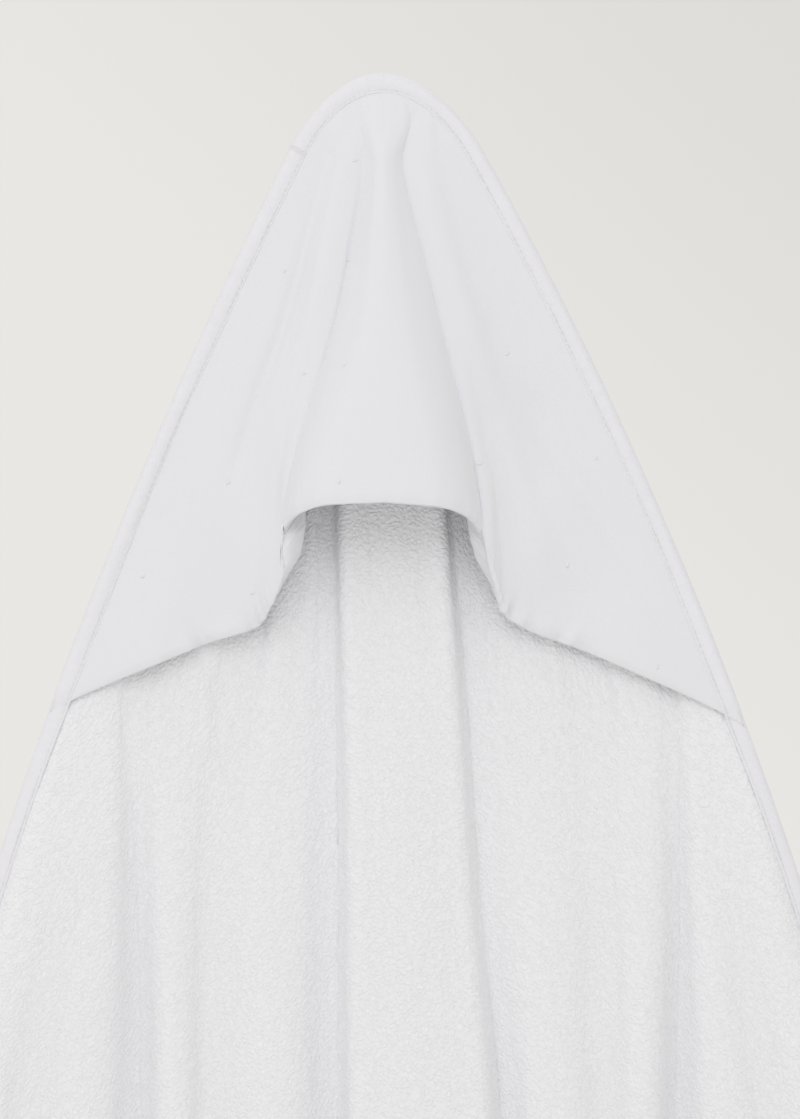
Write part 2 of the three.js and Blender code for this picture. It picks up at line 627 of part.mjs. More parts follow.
// The label's own frame: x away from the seam, y up along the seam, z to the back.
const labelFrame = (() => {
  const flat = (fromLeft, along) =>
    new THREE.Vector2((fromLeft + along) * Math.SQRT1_2, (fromLeft - along) * Math.SQRT1_2);
  const at = flat(BINDING_WIDTH + 1, LABEL.alongSide);
  const seamEnd = (way) => at.clone().add(flat(0, (way * LABEL.width) / 2));
  const seam = hang(...seamEnd(-1)).sub(hang(...seamEnd(1))).normalize();
  const back = frontNormal(at).negate();
  const origin = hang(...at).addScaledVector(back, BODY_IN_BINDING + BINDING_THICKNESS + 1.2);
  const inwards = seam.clone().cross(back).applyAxisAngle(seam, -degToRad(LABEL.lean)).normalize();
  return { origin, matrix: new THREE.Matrix4().makeBasis(inwards, seam, inwards.clone().cross(seam)) };
})();

function careLabel() {
  const { length, width, thickness } = LABEL;
  const corner = 1.5;
  const outline = new THREE.Shape()
    .moveTo(0, -width / 2)
    .lineTo(length - corner, -width / 2)
    .quadraticCurveTo(length, -width / 2, length, corner - width / 2)
    .lineTo(length, width / 2 - corner)
    .quadraticCurveTo(length, width / 2, length - corner, width / 2)
    .lineTo(0, width / 2);
  return new THREE.ExtrudeGeometry(outline, { depth: thickness, bevelEnabled: false, curveSegments: 3 })
    .translate(0, 0, -thickness / 2);
}

// ---- The towel ------------------------------------------------------------------------------------------
const terry = { color: 0xe6e6e9, roughness: 1, metalness: 0 };
const plainCotton = { color: 0xe9e9ec, roughness: 0.9, metalness: 0 };
const tape = { color: 0xe2e2e5, roughness: 0.85, metalness: 0 };
const thread = { color: 0xececef, roughness: 0.6, metalness: 0 };
const satin = { color: 0xf2f2f2, roughness: 0.4, metalness: 0 };

const towel = new THREE.Group();

function add(name, geometry, look) {
  const mesh = new THREE.Mesh(geometry, new THREE.MeshStandardMaterial(look));
  mesh.name = name;
  towel.add(mesh);
  return mesh;
}

add('towel_body', towelBody(), terry);
add('hood_lining', hoodLayer(-1), plainCotton);
add('hood_outer', hoodLayer(1), plainCotton);
add('hood_mouth_thread', mouthThread(), thread);
add('edge_binding', edgeBinding(), tape);
add('binding_needle_thread', bindingThread(1), thread);
add('binding_bobbin_thread', bindingThread(-1), thread);
add('hanging_loop', hangingLoop(), tape);
placeTack(add('loop_bar_tack_left', new THREE.CapsuleGeometry(TACK_RADIUS, TACK_LENGTH, 3, 8), thread), -1);
placeTack(add('loop_bar_tack_right', new THREE.CapsuleGeometry(TACK_RADIUS, TACK_LENGTH, 3, 8), thread), 1);

const label = add('care_label', careLabel(), satin);
label.position.copy(labelFrame.origin);
label.quaternion.setFromRotationMatrix(labelFrame.matrix);
const labelSeam = new THREE.CapsuleGeometry(THREAD_RADIUS, LABEL.width, 2, 6);
const labelThread = add('care_label_thread', labelSeam, thread);
labelThread.position.copy(labelFrame.origin)
  .addScaledVector(new THREE.Vector3().setFromMatrixColumn(labelFrame.matrix, 0), -1.2);
labelThread.quaternion.setFromRotationMatrix(labelFrame.matrix);

export default towel;
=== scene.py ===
"""Hooded baby towel, hanging by the loop behind its hooded corner: its looks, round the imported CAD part.

Shapes are worked out in millimetres, as in the CAD source, and become metres when a mesh is made.
Cloth is laid out flat first. A flat point is (down, across): down the towel's diagonal from its sharp
corner, and across it, + to the right. hang() and hood_shape() say where that point of the cloth hangs.
"""

import math

import bpy
import numpy as np
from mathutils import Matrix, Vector


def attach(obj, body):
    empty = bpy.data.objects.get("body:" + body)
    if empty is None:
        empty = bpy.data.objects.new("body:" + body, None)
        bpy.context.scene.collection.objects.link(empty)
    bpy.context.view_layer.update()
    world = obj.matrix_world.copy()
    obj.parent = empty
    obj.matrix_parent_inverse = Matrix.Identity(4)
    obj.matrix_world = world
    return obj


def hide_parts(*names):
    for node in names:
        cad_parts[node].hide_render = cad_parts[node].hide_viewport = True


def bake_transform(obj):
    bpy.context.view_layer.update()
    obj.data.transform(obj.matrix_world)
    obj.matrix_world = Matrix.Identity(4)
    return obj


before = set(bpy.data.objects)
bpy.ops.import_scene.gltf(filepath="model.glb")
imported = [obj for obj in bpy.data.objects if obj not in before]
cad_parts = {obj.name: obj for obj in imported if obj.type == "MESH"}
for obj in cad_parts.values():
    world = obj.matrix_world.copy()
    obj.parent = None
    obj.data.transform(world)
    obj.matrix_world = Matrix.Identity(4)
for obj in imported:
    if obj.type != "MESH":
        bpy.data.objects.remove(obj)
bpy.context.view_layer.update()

MM = 0.001

# ---- Driving dimensions ----
TOWEL_SIDE = 1000
CORNER_RADIUS = 75
FAR = TOWEL_SIDE - CORNER_RADIUS  # where the far corners start to round
HOOD_LEG = 332  # how far down each side of the towel the hood is sewn
HOOD_DEPTH = 226  # corner to the middle of the hood's mouth, flat
BINDING_WIDTH = 7.5
BINDING_THICKNESS = 0.8
BODY_HALF = 2.0  # half the terry's thickness
BODY_HALF_AT_EDGE = 1.0
HOOD_THICKNESS = 0.7
GAP = 0.3
STITCH_INSET = 6.0
CORNER_ABOVE_HOOK = 40
CLOTH_Y = -12
TILT = 0.02
ROOT2 = math.sqrt(2)


# ---- Small helpers ----
def smoothstep(x, low, high):
    t = np.clip((np.asarray(x, float) - low) / (high - low), 0, 1)
    return t * t * (3 - 2 * t)


def lerp(a, b, t):
    return a + (b - a) * t


def curve_through(at, values, x):
    """A smooth curve through points, with no overshoot. values is one number a point, or a row of them."""
    at = np.asarray(at, float)
    values = np.asarray(values, float)
    x = np.asarray(x, float)
    if values.ndim == 1:
        values = np.repeat(values[:, None], x.size, 1)
    flat_x = x.ravel()
    steps = np.diff(at)[:, None]
    secant = np.diff(values, axis=0) / steps
    a, b = secant[:-1], secant[1:]
    total = np.where(a + b == 0, 1, a + b)
    slope = np.vstack([secant[:1], np.where(a * b > 0, 2 * a * b / total, 0), secant[-1:]])
    i = np.clip(np.searchsorted(at, flat_x, side="right") - 1, 0, len(at) - 2)
    n = np.arange(flat_x.size)
    width = at[i + 1] - at[i]
    t = np.clip((flat_x - at[i]) / width, 0, 1)
    inner = lerp(values[i, n], values[i + 1, n], t * t * (3 - 2 * t))
    inner += width * t * (1 - t) * (slope[i, n] * (1 - t) - slope[i + 1, n] * t)
    before = values[0] + slope[0] * (flat_x - at[0])
    after = values[-1] + slope[-1] * (flat_x - at[-1])
    return np.where(flat_x < at[0], before, np.where(flat_x > at[-1], after, inner)).reshape(x.shape)


def lumps(points, size, seed):
    """Smooth random values from -1 to 1 over flat points, that change over about `size`."""
    table = np.random.default_rng(seed).uniform(-1, 1, (256, 256))
    cell = np.asarray(points, float) / np.asarray(size, float)
    low = np.floor(cell).astype(int)
    f = cell - low
    f = f * f * (3 - 2 * f)
    i, j = low[..., 0] % 256, low[..., 1] % 256
    i2, j2 = (i + 1) % 256, (j + 1) % 256
    top = lerp(table[i, j], table[i2, j], f[..., 0])
    return lerp(top, lerp(table[i, j2], table[i2, j2], f[..., 0]), f[..., 1])


def unit(v):
    return v / np.maximum(np.linalg.norm(v, axis=-1, keepdims=True), 1e-9)


# ---- The hanging shape ----
EDGE_START = 1.56  # drop for each millimetre of half width, at the corner
EDGE_CLOSING = 0.00168  # and how fast that grows
CORNER_FULLNESS, FULLNESS_REACH = 6, 60
SWAY, SWAY_REACH = 8.5, 150  # the lower towel hangs this far to the right of its corner


def half_width(drop):
    return drop / (EDGE_START + EDGE_CLOSING * drop) + CORNER_FULLNESS * np.exp(-drop / FULLNESS_REACH)


def centre_line(drop):
    return SWAY * (1 - np.exp(-drop / SWAY_REACH))


def edge_drop(along):
    """The drop of an edge point that lies `along` the towel's side from the sharp corner."""
    gain = EDGE_START**2 / (6 * EDGE_CLOSING)
    drop = np.asarray(along, float)
    for _ in range(5):
        drop = along - gain * (EDGE_START**-3 - (EDGE_START + EDGE_CLOSING * drop) ** -3)
    return drop


# The body's valleys, left to right: where each lies across and how deep at DROPS below the corner, and its
# sharpness: 1 is round, and less is sharper.
DROPS = [220, 300, 380, 480, 900]
VALLEYS = [
    ([-98, -125, -133, -150, -222], [1, -1, -6, -5, 32], 1.0),
    ([-88, -107, -103, -101, -150], [2, 2, 3, 5, 30], 0.8),
    ([-52, -60, -72, -74, -88], [6, 2, -2, -2, 26], 1.0),
    ([-20, -18, -17, -17, -28], [4, 2, 2, 4, 34], 0.85),
    ([30, 36.5, 42, 51, 58], [3, 0, -1, 2, 34], 0.75),
    ([70, 94, 96, 98, 122], [3, 1, -2, -2, 26], 1.0),
    ([104, 126, 127, 125, 180], [2, 2, 3, 5, 30], 0.8),
    ([114, 141, 150, 168, 245], [1, -1, -6, -5, 32], 1.0),
]
RIDGE_DEPTH = [2, -1, -7, -11, -34]
COLUMN_DEPTH = [-8, -13, -14, -15, -36]
COLUMN = 4  # the ridge before this valley is a column, flat between two shoulders
SHOULDER_SHARE = (0.14, 0.27)  # how far in its shoulders lie, high up and low down
SHOULDER_BEHIND = (1.2, 4)  # and how far behind its middle
WANDER, WANDER_REACH, WANDER_TURN = 6, 120, 1.9  # low down, the ridges stray from side to side
ROUNDING = ([0, 230, 340, 480, 900], [0.9, 0.9, 0.35, 0.4, 0.7])  # of the folds, at these drops
FOLDS_START = 72
HEM_CLOSING = 0.12
SIDES_END = float(edge_drop(FAR))
LOWEST = TOWEL_SIDE * ROOT2


def fold_across(values, drop):
    scale = half_width(drop) / half_width(DROPS[0])
    lower = curve_through(DROPS, values, np.minimum(drop, DROPS[-1]))
    lower = lower * (1 - HEM_CLOSING * smoothstep(drop, SIDES_END, LOWEST))
    return np.where(drop < DROPS[0], values[0] * scale, lower)


def fold_depth(values, drop):
    lower = curve_through(DROPS, values, np.minimum(drop, DROPS[-1]))
    return np.where(drop < DROPS[0], values[0] * smoothstep(drop, FOLDS_START, DROPS[0]), lower)


STEPS_A_FOLD = 20
CUT_STEP = 2.0
ARC_STEPS = 1400


def level_cuts():
    """Level cuts through the hanging body, each resampled to even steps along its length."""
    drops = np.arange(0, LOWEST + 2 * CUT_STEP, CUT_STEP)
    edges = [s * half_width(np.minimum(drops, SIDES_END)) + centre_line(drops) for s in (-1, 1)]
    across = [edges[0], *[fold_across(v[0], drops) for v in VALLEYS], edges[1]]
    depth = [0 * drops, *[fold_depth(v[1], drops) for v in VALLEYS], 0 * drops]
    sharp = [None, *[v[2] for v in VALLEYS], None]
    lines = [(across[0], depth[0], None)]
    low = smoothstep(drops, *DROPS[-2:])
    shoulder = lerp(*SHOULDER_SHARE, low)
    back = lerp(*SHOULDER_BEHIND, low) * smoothstep(drops, FOLDS_START, DROPS[0])
    for k in range(1, len(across)):
        wander = WANDER * low * np.sin(drops / WANDER_REACH + WANDER_TURN * (k - 1))
        column = k - 1 == COLUMN
        ridge = fold_depth(COLUMN_DEPTH if column else RIDGE_DEPTH, drops)
        for share, behind in ((shoulder, back), (0.5, 0), (1 - shoulder, back)) if column else ((0.5, 0),):
            lines.append((lerp(across[k - 1], across[k], share) + wander, ridge + behind, None))
        lines.append((across[k], depth[k], sharp[k]))
    more = curve_through(*ROUNDING, np.minimum(drops, DROPS[-1]))
    xs, ys = [lines[0][0]], [lines[0][1]]
    for (x0, y0, s0), (x1, y1, s1) in zip(lines, lines[1:]):
        for t in np.arange(1, STEPS_A_FOLD + 1) / STEPS_A_FOLD:
            rise = 1 - (1 - t) ** s1 if s1 else t**s0 if s0 else t
            sweep = t + more / (2 * math.pi) * math.sin(2 * math.pi * t)
            xs.append(lerp(x0, x1, sweep))
            ys.append(lerp(y0, y1, smoothstep(rise, 0, 1)))
    xs, ys = np.array(xs).T, np.array(ys).T
    lengths = np.cumsum(np.hypot(np.diff(xs, axis=1), np.diff(ys, axis=1)), axis=1)
    lengths = np.hstack([np.zeros((len(drops), 1)), lengths])
    even = np.linspace(0, 1, ARC_STEPS + 1)
    table = np.empty((len(drops), ARC_STEPS + 1, 2))
    for row, (x, y, length) in enumerate(zip(xs, ys, lengths)):
        share = length / length[-1]
        table[row, :, 0] = np.interp(even, share, x)
        table[row, :, 1] = np.interp(even, share, y)
    return table, lengths[:, -1]


CUTS, CUT_LENGTHS = level_cuts()
TRUE_STRIP = 25  # over about this width beside its edge, the cloth keeps its true length across


def polar(flat):
    reach = np.hypot(flat[..., 0], flat[..., 1])
    return reach, np.arctan2(flat[..., 1], flat[..., 0]) / (math.pi / 4)


def body_drop(reach, share):
    return reach - (reach - edge_drop(reach)) * np.minimum(share**2, 1)


def placed(across, depth, drop):
    return np.stack([across, CLOTH_Y + depth, CORNER_ABOVE_HOOK - drop - TILT * across], -1)


def hang(flat):
    """Where the middle of the towel body's thickness hangs."""
    reach, share = polar(flat)
    drop = body_drop(reach, share)
    row = np.clip(drop / CUT_STEP, 0, len(CUTS) - 1.001)
    r = row.astype(int)
    fr = row - r
    length = lerp(CUT_LENGTHS[r], CUT_LENGTHS[r + 1], fr)
    half, flat_half = length / 2, reach * math.pi / 4
    strip = np.minimum(TRUE_STRIP, flat_half / 3)
    all_kept = strip * (1 - np.exp(-flat_half / strip))
    rest = (half - all_kept) / (flat_half - all_kept)
    inwards = flat_half * np.maximum(1 - np.abs(share), 0)
    from_edge = rest * inwards + (1 - rest) * strip * (1 - np.exp(-inwards / strip))
    run = np.where(share < 0, from_edge, 2 * half - from_edge) / length
    col = np.clip(run * ARC_STEPS, 0, ARC_STEPS - 0.001)
    c = col.astype(int)
    fc = (col - c)[..., None]
    upper = lerp(CUTS[r, c], CUTS[r, c + 1], fc)
    lower = lerp(CUTS[r + 1, c], CUTS[r + 1, c + 1], fc)
    at = lerp(upper, lower, fr[..., None])
    return placed(at[..., 0], at[..., 1], drop)


# The hood's lines: each keeps one angle of the flat corner, and has its place across and its depth at
# HOOD_DROPS.
HOOD_DROPS = [60, 130, 215, 300]
HOOD_LINES = [
    (-39, [-28, -52, -79, -102], [-4, -5, -6.5, -7]),
    (-34.5, [-21, -38.5, -61, -77], [-4, -4.5, -6, -7]),
    (-31, [-17.5, -32, -51, -53], [-5, -7, -8, -8]),
    (-27, [-14, -27, -43, -47], [-6, -11, -14, -16]),
    (-20, [-7.5, -20.5, -38.5, -41], [-6, -12, -19, -25]),
    (-15, [-4.5, -17.5, -37.5, -43], [-5.5, -10, -19, -28]),
    (-10, [-1.5, -10.5, -32.5, -39], [-8, -19, -34, -47]),
    (-5, [0, -4, -19, -22], [-10, -27, -45, -60]),
    (0, [1.5, 2, 2, 2], [-11, -29, -47.5, -63]),
    (5, [3, 8.5, 22, 26], [-10, -27, -45, -60]),
    (10, [4.5, 17, 36, 42], [-8, -19, -34, -47]),
    (15, [6.5, 24, 42, 47], [-5.5, -10, -19, -28]),
    (20, [9, 27, 43.5, 48], [-6, -12, -19, -25]),
    (27, [17, 33, 47, 52], [-6, -11, -14, -14]),
    (31, [22, 41.5, 58, 65], [-5, -8, -8.5, -8]),
    (35, [28, 51, 75, 92], [-4.5, -6, -6.5, -7]),
    (39, [33, 62, 92, 116], [-4, -5, -6.5, -7]),
]
HOOD_ANGLES = [-45, *[line[0] for line in HOOD_LINES], 45]
HOOD_EDGE_DEPTH = -4
# The roof's lift at these angles: drop added for each millimetre of reach past ROOF_START.
ROOF_LIFT = ([-45, -30, -20, -11.3, -6, 0, 6, 11.3, 20, 30, 45],
             [0, 0, -0.03, -0.066, -0.0785, -0.0757, -0.0805, -0.071, -0.036, -0.005, 0])
ROOF_START = 45


def hood_shape(flat):
    reach, share = polar(flat)
    angle = np.clip(share, -1, 1) * 45
    lift = curve_through(*ROOF_LIFT, angle) * np.maximum(reach - ROOF_START, 0)
    drop = body_drop(reach, share) + lift
    d = drop.ravel()
    edge = [side * half_width(d) + centre_line(d) for side in (-1, 1)]
    narrow = half_width(np.minimum(d, HOOD_DROPS[0])) / half_width(HOOD_DROPS[0])
    across = [edge[0], *[curve_through(HOOD_DROPS, line[1], d) * narrow for line in HOOD_LINES], edge[1]]
    rest = np.full_like(d, HOOD_EDGE_DEPTH)
    depth = [rest, *[curve_through(HOOD_DROPS, line[2], d) for line in HOOD_LINES], rest]
    x, y = (curve_through(HOOD_ANGLES, np.array(values), angle) for values in (across, depth))
    return placed(x, y, drop)


# ---- The flat cloth ----
def from_sides(flat):
    return (flat[..., 0] + flat[..., 1]) / ROOT2, (flat[..., 0] - flat[..., 1]) / ROOT2


def flat_point(left, right):
    """The flat point this far inside the towel's left and right sides."""
    return np.stack([left + right, left - right], -1) / ROOT2


def from_edge(flat):
    """How far a flat point lies inside the towel's edge, up to the corner radius."""
    left, right = (v - np.clip(v, CORNER_RADIUS, FAR) for v in from_sides(flat))
    return CORNER_RADIUS - np.hypot(left, right)


def first_reach(angle):
    """Distance from the sharp corner to the rounded one."""
    turn = math.pi / 4 - np.abs(angle)
    c, s = np.cos(turn), np.sin(turn)
    return CORNER_RADIUS * (c + s - np.sqrt(np.maximum(2 * c * s, 0)))


def hem_reach(angle):
    turn = math.pi / 4 - np.abs(angle)
    c, s = np.cos(turn), np.sin(turn)
    straight = TOWEL_SIDE / c

    def corner(middle):
        along = FAR * c + middle * s
        return along + np.sqrt(np.maximum(along**2 - FAR**2 - middle**2 + CORNER_RADIUS**2, 0))

    reach = np.where(straight * s < CORNER_RADIUS, corner(CORNER_RADIUS), straight)
    return np.where(straight * s > FAR, corner(FAR), reach)


MOUTH_LINE = ([0, 11.3, 20, 31, 45], [HOOD_DEPTH, 230, 236.3, 241, 240.5])  # at these angles, how far down


def mouth_reach(angle):
    """Distance from the sharp corner to the hood's mouth, cut in a little at its middle."""
    return curve_through(*MOUTH_LINE, np.degrees(np.abs(angle))) / np.cos(angle)


def fan(columns, rows, last_reach):
    """A grid of flat points: columns fan out from the sharp corner, rows cross them. rows go from 0 to 1."""
    first, last = first_reach(columns), last_reach(columns)
    reach = lerp(first[None], last[None], rows[:, None])
    return np.stack([reach * np.cos(columns), reach * np.sin(columns)], -1)


def fan_columns(count, crowd):
    even = np.linspace(-1, 1, count + 1)
    return lerp(even, np.sin(even * math.pi / 2), crowd) * math.pi / 4


def grid_normals(points):
    """Front normals of a grid of hanging points."""
    return unit(np.cross(np.gradient(points, axis=0), np.gradient(points, axis=1)))


def soft_normals(points, reach=9):
    """Front normals evened out over the columns beside each point, so that offset layers don't cross."""
    normals = grid_normals(points)
    padded = np.pad(normals, ((0, 0), (reach, reach), (0, 0)), mode="edge")
    total = np.cumsum(np.pad(padded, ((0, 0), (1, 0), (0, 0))), axis=1)
    return unit(total[:, 2 * reach + 1:] - total[:, :-2 * reach - 1])


# ---- Meshes ----
def link(name, data):
    made = bpy.data.objects.new(name, data)
    bpy.context.scene.collection.objects.link(made)
    return made


def make_object(name, points, faces, material, body="towel", uv=None):
    """A smooth mesh object from millimetre points. uv is a flat place in metres for each vertex."""
    mesh = bpy.data.meshes.new(name)
    mesh.from_pydata((np.asarray(points) * MM).tolist(), [], [list(f) for f in faces])
    mesh.update()
    if uv is not None:
        layer = mesh.uv_layers.new(name="flat")
        corners = np.zeros(len(mesh.loops), np.int32)
        mesh.loops.foreach_get("vertex_index", corners)
        layer.data.foreach_set("uv", np.asarray(uv, np.float32)[corners].ravel())
    mesh.polygons.foreach_set("use_smooth", [True] * len(mesh.polygons))
    mesh.materials.append(material)
    made = link(name, mesh)
    if body:
        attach(made, body)
    return made


def sheet_faces(rows, cols):
    """Faces of a closed sheet: a front grid, a back grid after it, and the rim between them."""
    size = rows * cols
    k = np.arange(size).reshape(rows, cols)
    a, b, c, d = (v.ravel() for v in (k[:-1, :-1], k[1:, :-1], k[1:, 1:], k[:-1, 1:]))
    front = np.stack([a, b, c, d], 1)
    back = np.stack([a, d, c, b], 1) + size
    walk = np.concatenate([k[0, :-1], k[:-1, -1], k[-1, :0:-1], k[:0:-1, 0]])
    ahead = np.roll(walk, -1)
    rim = np.stack([walk, ahead, ahead + size, walk + size], 1)
    return np.vstack([front, back, rim]).tolist()


def sheet_object(name, flat, middle, normal, front, back, material, body="towel"):
    """A closed sheet with its front and back faces at these offsets from a middle surface."""
    points = np.vstack([(middle + normal * offset[..., None]).reshape(-1, 3) for offset in (front, back)])
    uv = np.vstack([flat.reshape(-1, 2)] * 2) * MM
    return make_object(name, points, sheet_faces(*flat.shape[:2]), material, body, uv=uv)


def tube_faces(rings, sides, closed):
    """Faces round a tube of rings, closed on itself or capped."""
    k = np.arange(rings * sides).reshape(rings, sides)
    ahead = np.roll(k, -1, 0) if closed else k[1:]
    here = k if closed else k[:-1]
    faces = np.stack([here, np.roll(here, -1, 1), np.roll(ahead, -1, 1), ahead], -1).reshape(-1, 4).tolist()
    if not closed:
        faces += [k[0, ::-1].tolist(), k[-1].tolist()]
    return faces


def tube(centres, across, over, radius_across, radius_over, sides):
    """Points of a tube round these centres, an ellipse across and over them."""
    turn = 2 * math.pi * np.arange(sides) / sides
    ring = np.cos(turn)[None, :, None] * across[:, None] * np.reshape(radius_across, (-1, 1, 1))
    ring = ring + np.sin(turn)[None, :, None] * over[:, None] * np.reshape(radius_over, (-1, 1, 1))
    return (centres[:, None] + ring).reshape(-1, 3)


# ---- Materials ----
class Nodes:
    """A short way to write a material's nodes."""

    def __init__(self, name, **settings):
        self.material = bpy.data.materials.new(name)
        self.material.use_nodes = True
        self.tree = self.material.node_tree
        self.shader = self.tree.nodes["Principled BSDF"]
        for key, value in settings.items():
            self.shader.inputs[key.replace("_", " ")].default_value = value

    def add(self, kind, inputs=None, **settings):
        node = self.tree.nodes.new("ShaderNode" + kind)
        for key, value in settings.items():
            setattr(node, key, value)
        for key, value in (inputs or {}).items():
            self.put(node.inputs[key], value)
        return node

    def put(self, socket, value):
        if isinstance(value, bpy.types.NodeSocket):
            self.tree.links.new(value, socket)
        else:
            socket.default_value = value

    def math(self, operation, *values):
        node = self.add("Math", operation=operation)
        for socket, value in zip(node.inputs, values):
            self.put(socket, value)
        return node.outputs[0]

    def ramp(self, value, low, high):
        inputs = {"Value": value, "From Min": low, "From Max": high}
        return self.add("MapRange", inputs, interpolation_type="SMOOTHSTEP").outputs["Result"]

    def flat(self, scale=(1, 1, 1), turn=0.0):
        """Places on the flat cloth, in metres times scale."""
        inputs = {"Vector": self.add("UVMap", uv_map="flat").outputs["UV"], "Scale": scale}
        return self.add("Mapping", {**inputs, "Rotation": (0, 0, turn)}).outputs["Vector"]

    def noise(self, vector, scale, detail, roughness=0.5, output="Fac"):
        inputs = {"Vector": vector, "Scale": scale, "Detail": detail, "Roughness": roughness}
        return self.add("TexNoise", inputs).outputs[output]

    def bands(self, vector, way, scale, distortion, detail_scale=1.0):
        inputs = {"Vector": vector, "Scale": scale, "Distortion": distortion, "Detail Scale": detail_scale}
        return self.add("TexWave", inputs, wave_type="BANDS", bands_direction=way).outputs["Fac"]

    def bump(self, height, distance, strength):
        node = self.add("Bump", {"Height": height, "Distance": distance, "Strength": strength})
        self.put(self.shader.inputs["Normal"], node.outputs["Normal"])

    def mix_colour(self, share, dark, light):
        node = self.add("Mix", data_type="RGBA")
        self.put(node.inputs["Factor"], share)
        self.put(node.inputs["A"], (*dark, 1))
        self.put(node.inputs["B"], (*light, 1))
        self.put(self.shader.inputs["Base Color"], node.outputs["Result"])


def terry_material():
    """Looped pile: short curls that lie every way, clumped here and there; its colour has painted shade in
    the gaps between curls, and random tone from the clumps.
    """
    n = Nodes("terry_pile", Roughness=1.0, Specular_IOR_Level=0.05)
    place = n.flat()
    swirl = n.noise(place, scale=160, detail=2, roughness=0.6, output="Color")
    bend = n.add("VectorMath", {0: swirl, 1: (0.5, 0.5, 0.5)}, operation="SUBTRACT").outputs[0]
    bend = n.add("VectorMath", {0: bend, "Scale": 0.0042}, operation="SCALE").outputs[0]
    bent = n.add("VectorMath", {0: place, 1: bend}, operation="ADD").outputs[0]
    lean = (0, 0, math.radians(35))
    curl_map = n.add("Mapping", {"Vector": bent, "Scale": (1, 0.62, 1), "Rotation": lean})
    curls = n.add("TexVoronoi", {"Vector": curl_map.outputs["Vector"], "Scale": 560, "Randomness": 0.95},
                  voronoi_dimensions="2D", feature="F1").outputs["Distance"]
    curl_height = n.ramp(curls, 0.62, 0.05)
    clump = n.noise(place, scale=230, detail=3, roughness=0.6)
    fibre = n.noise(bent, scale=2400, detail=2, roughness=0.6)
    height = n.math("MULTIPLY_ADD", curl_height, 0.75, n.math("MULTIPLY", clump, 0.9))
    height = n.math("MULTIPLY_ADD", fibre, 0.3, height)
    n.bump(height, distance=0.0011, strength=0.52)
    # painted shade: the base colour is darker in the gaps between the curls and lighter on their tops; the
    # clumps add random tone
    gap_shade_and_clumps = n.math("MULTIPLY_ADD", curl_height, 0.6, n.math("MULTIPLY", clump, 0.4))
    n.mix_colour(n.ramp(gap_shade_and_clumps, 0, 0.85), TERRY_SHADE_AND_DARK_TONE, TERRY_LIT_AND_LIGHT_TONE)
    return n.material


def cotton_material():
    """Fine plain weave with uneven yarns, that run along the towel's sides."""
    n = Nodes("plain_cotton", Roughness=0.95, Sheen_Weight=0.1, Sheen_Roughness=0.5, Specular_IOR_Level=0.15)
    slant = math.radians(45)
    warp, weft = (n.bands(n.flat(turn=slant), way, scale=330, distortion=0.6, detail_scale=3.0)
                  for way in "XY")
    yarns = [n.noise(n.flat(stretch, slant), scale=60, detail=3) for stretch in ((1, 14, 1), (14, 1, 1))]
    weave = n.math("MULTIPLY", warp, weft)
    uneven = n.math("ADD", *yarns)
    cloud = n.noise(n.flat(), scale=120, detail=3, roughness=0.55)
    height = n.math("MULTIPLY_ADD", weave, 0.10, n.math("MULTIPLY", uneven, 0.18))
    height = n.math("MULTIPLY_ADD", cloud, 0.35, height)
    n.bump(height, distance=0.0004, strength=0.5)
    n.mix_colour(n.math("MULTIPLY_ADD", uneven, 0.35, 0.65), COTTON_DARK, COTTON_LIGHT)
    return n.material


def tape_material():
    """Bias tape: a fine weave that runs slantwise."""
    n = Nodes("binding_tape", Roughness=0.9, Sheen_Weight=0.1, Sheen_Roughness=0.5, Specular_IOR_Level=0.15)
    place = n.flat()
    weave = n.bands(place, "DIAGONAL", scale=420, distortion=0.8)
    cloud = n.noise(place, scale=260, detail=3, roughness=0.55)
    height = n.math("MULTIPLY_ADD", cloud, 0.5, n.math("MULTIPLY", weave, 0.15))
    n.bump(height, distance=0.0004, strength=0.5)
    n.mix_colour(cloud, TAPE_DARK, TAPE_LIGHT)
    return n.material


def thread_material():
    """Sewing thread, with the slant of its plies."""
    n = Nodes("sewing_thread", Roughness=0.6, Sheen_Weight=0.2)
    ply = n.bands(n.add("TexCoord").outputs["Object"], "DIAGONAL", scale=1400, distortion=1.0)
    n.bump(ply, distance=0.0001, strength=0.5)
    n.mix_colour(ply, THREAD_DARK, THREAD_LIGHT)
    return n.material


def satin_material():
    """Ribbed satin ribbon."""
    n = Nodes("label_satin", Roughness=0.35, Anisotropic=0.5)
    ribs = n.bands(n.flat(), "Y", scale=900, distortion=0.2)
    n.bump(ribs, distance=0.00008, strength=0.4)
    n.mix_colour(ribs, SATIN_DARK, SATIN_LIGHT)
    return n.material


# terry: the first colour is painted shade in the gaps between curls and dark tone, the second is lit curl
# tops and light tone
TERRY_SHADE_AND_DARK_TONE, TERRY_LIT_AND_LIGHT_TONE = (0.91, 0.91, 0.94), (0.955, 0.955, 0.98)
COTTON_DARK, COTTON_LIGHT = (0.78, 0.78, 0.815), (0.835, 0.835, 0.868)
TAPE_DARK, TAPE_LIGHT = (0.825, 0.82, 0.86), (0.88, 0.875, 0.915)
THREAD_DARK, THREAD_LIGHT = (0.8, 0.8, 0.81), (0.88, 0.88, 0.89)
SATIN_DARK, SATIN_LIGHT = (0.84, 0.84, 0.84), (0.9, 0.9, 0.9)

terry = terry_material()
cotton = cotton_material()
tape = tape_material()
thread = thread_material()
satin = satin_material()

# ---- Towel body ----
BODY_COLUMNS = 230
TOP_ROWS = 130  # finer rows on the upper part, where the drape turns quickly
LOW_ROWS = 85
TOP_SHARE = 0.42
PILE_LUMPS = 0.22


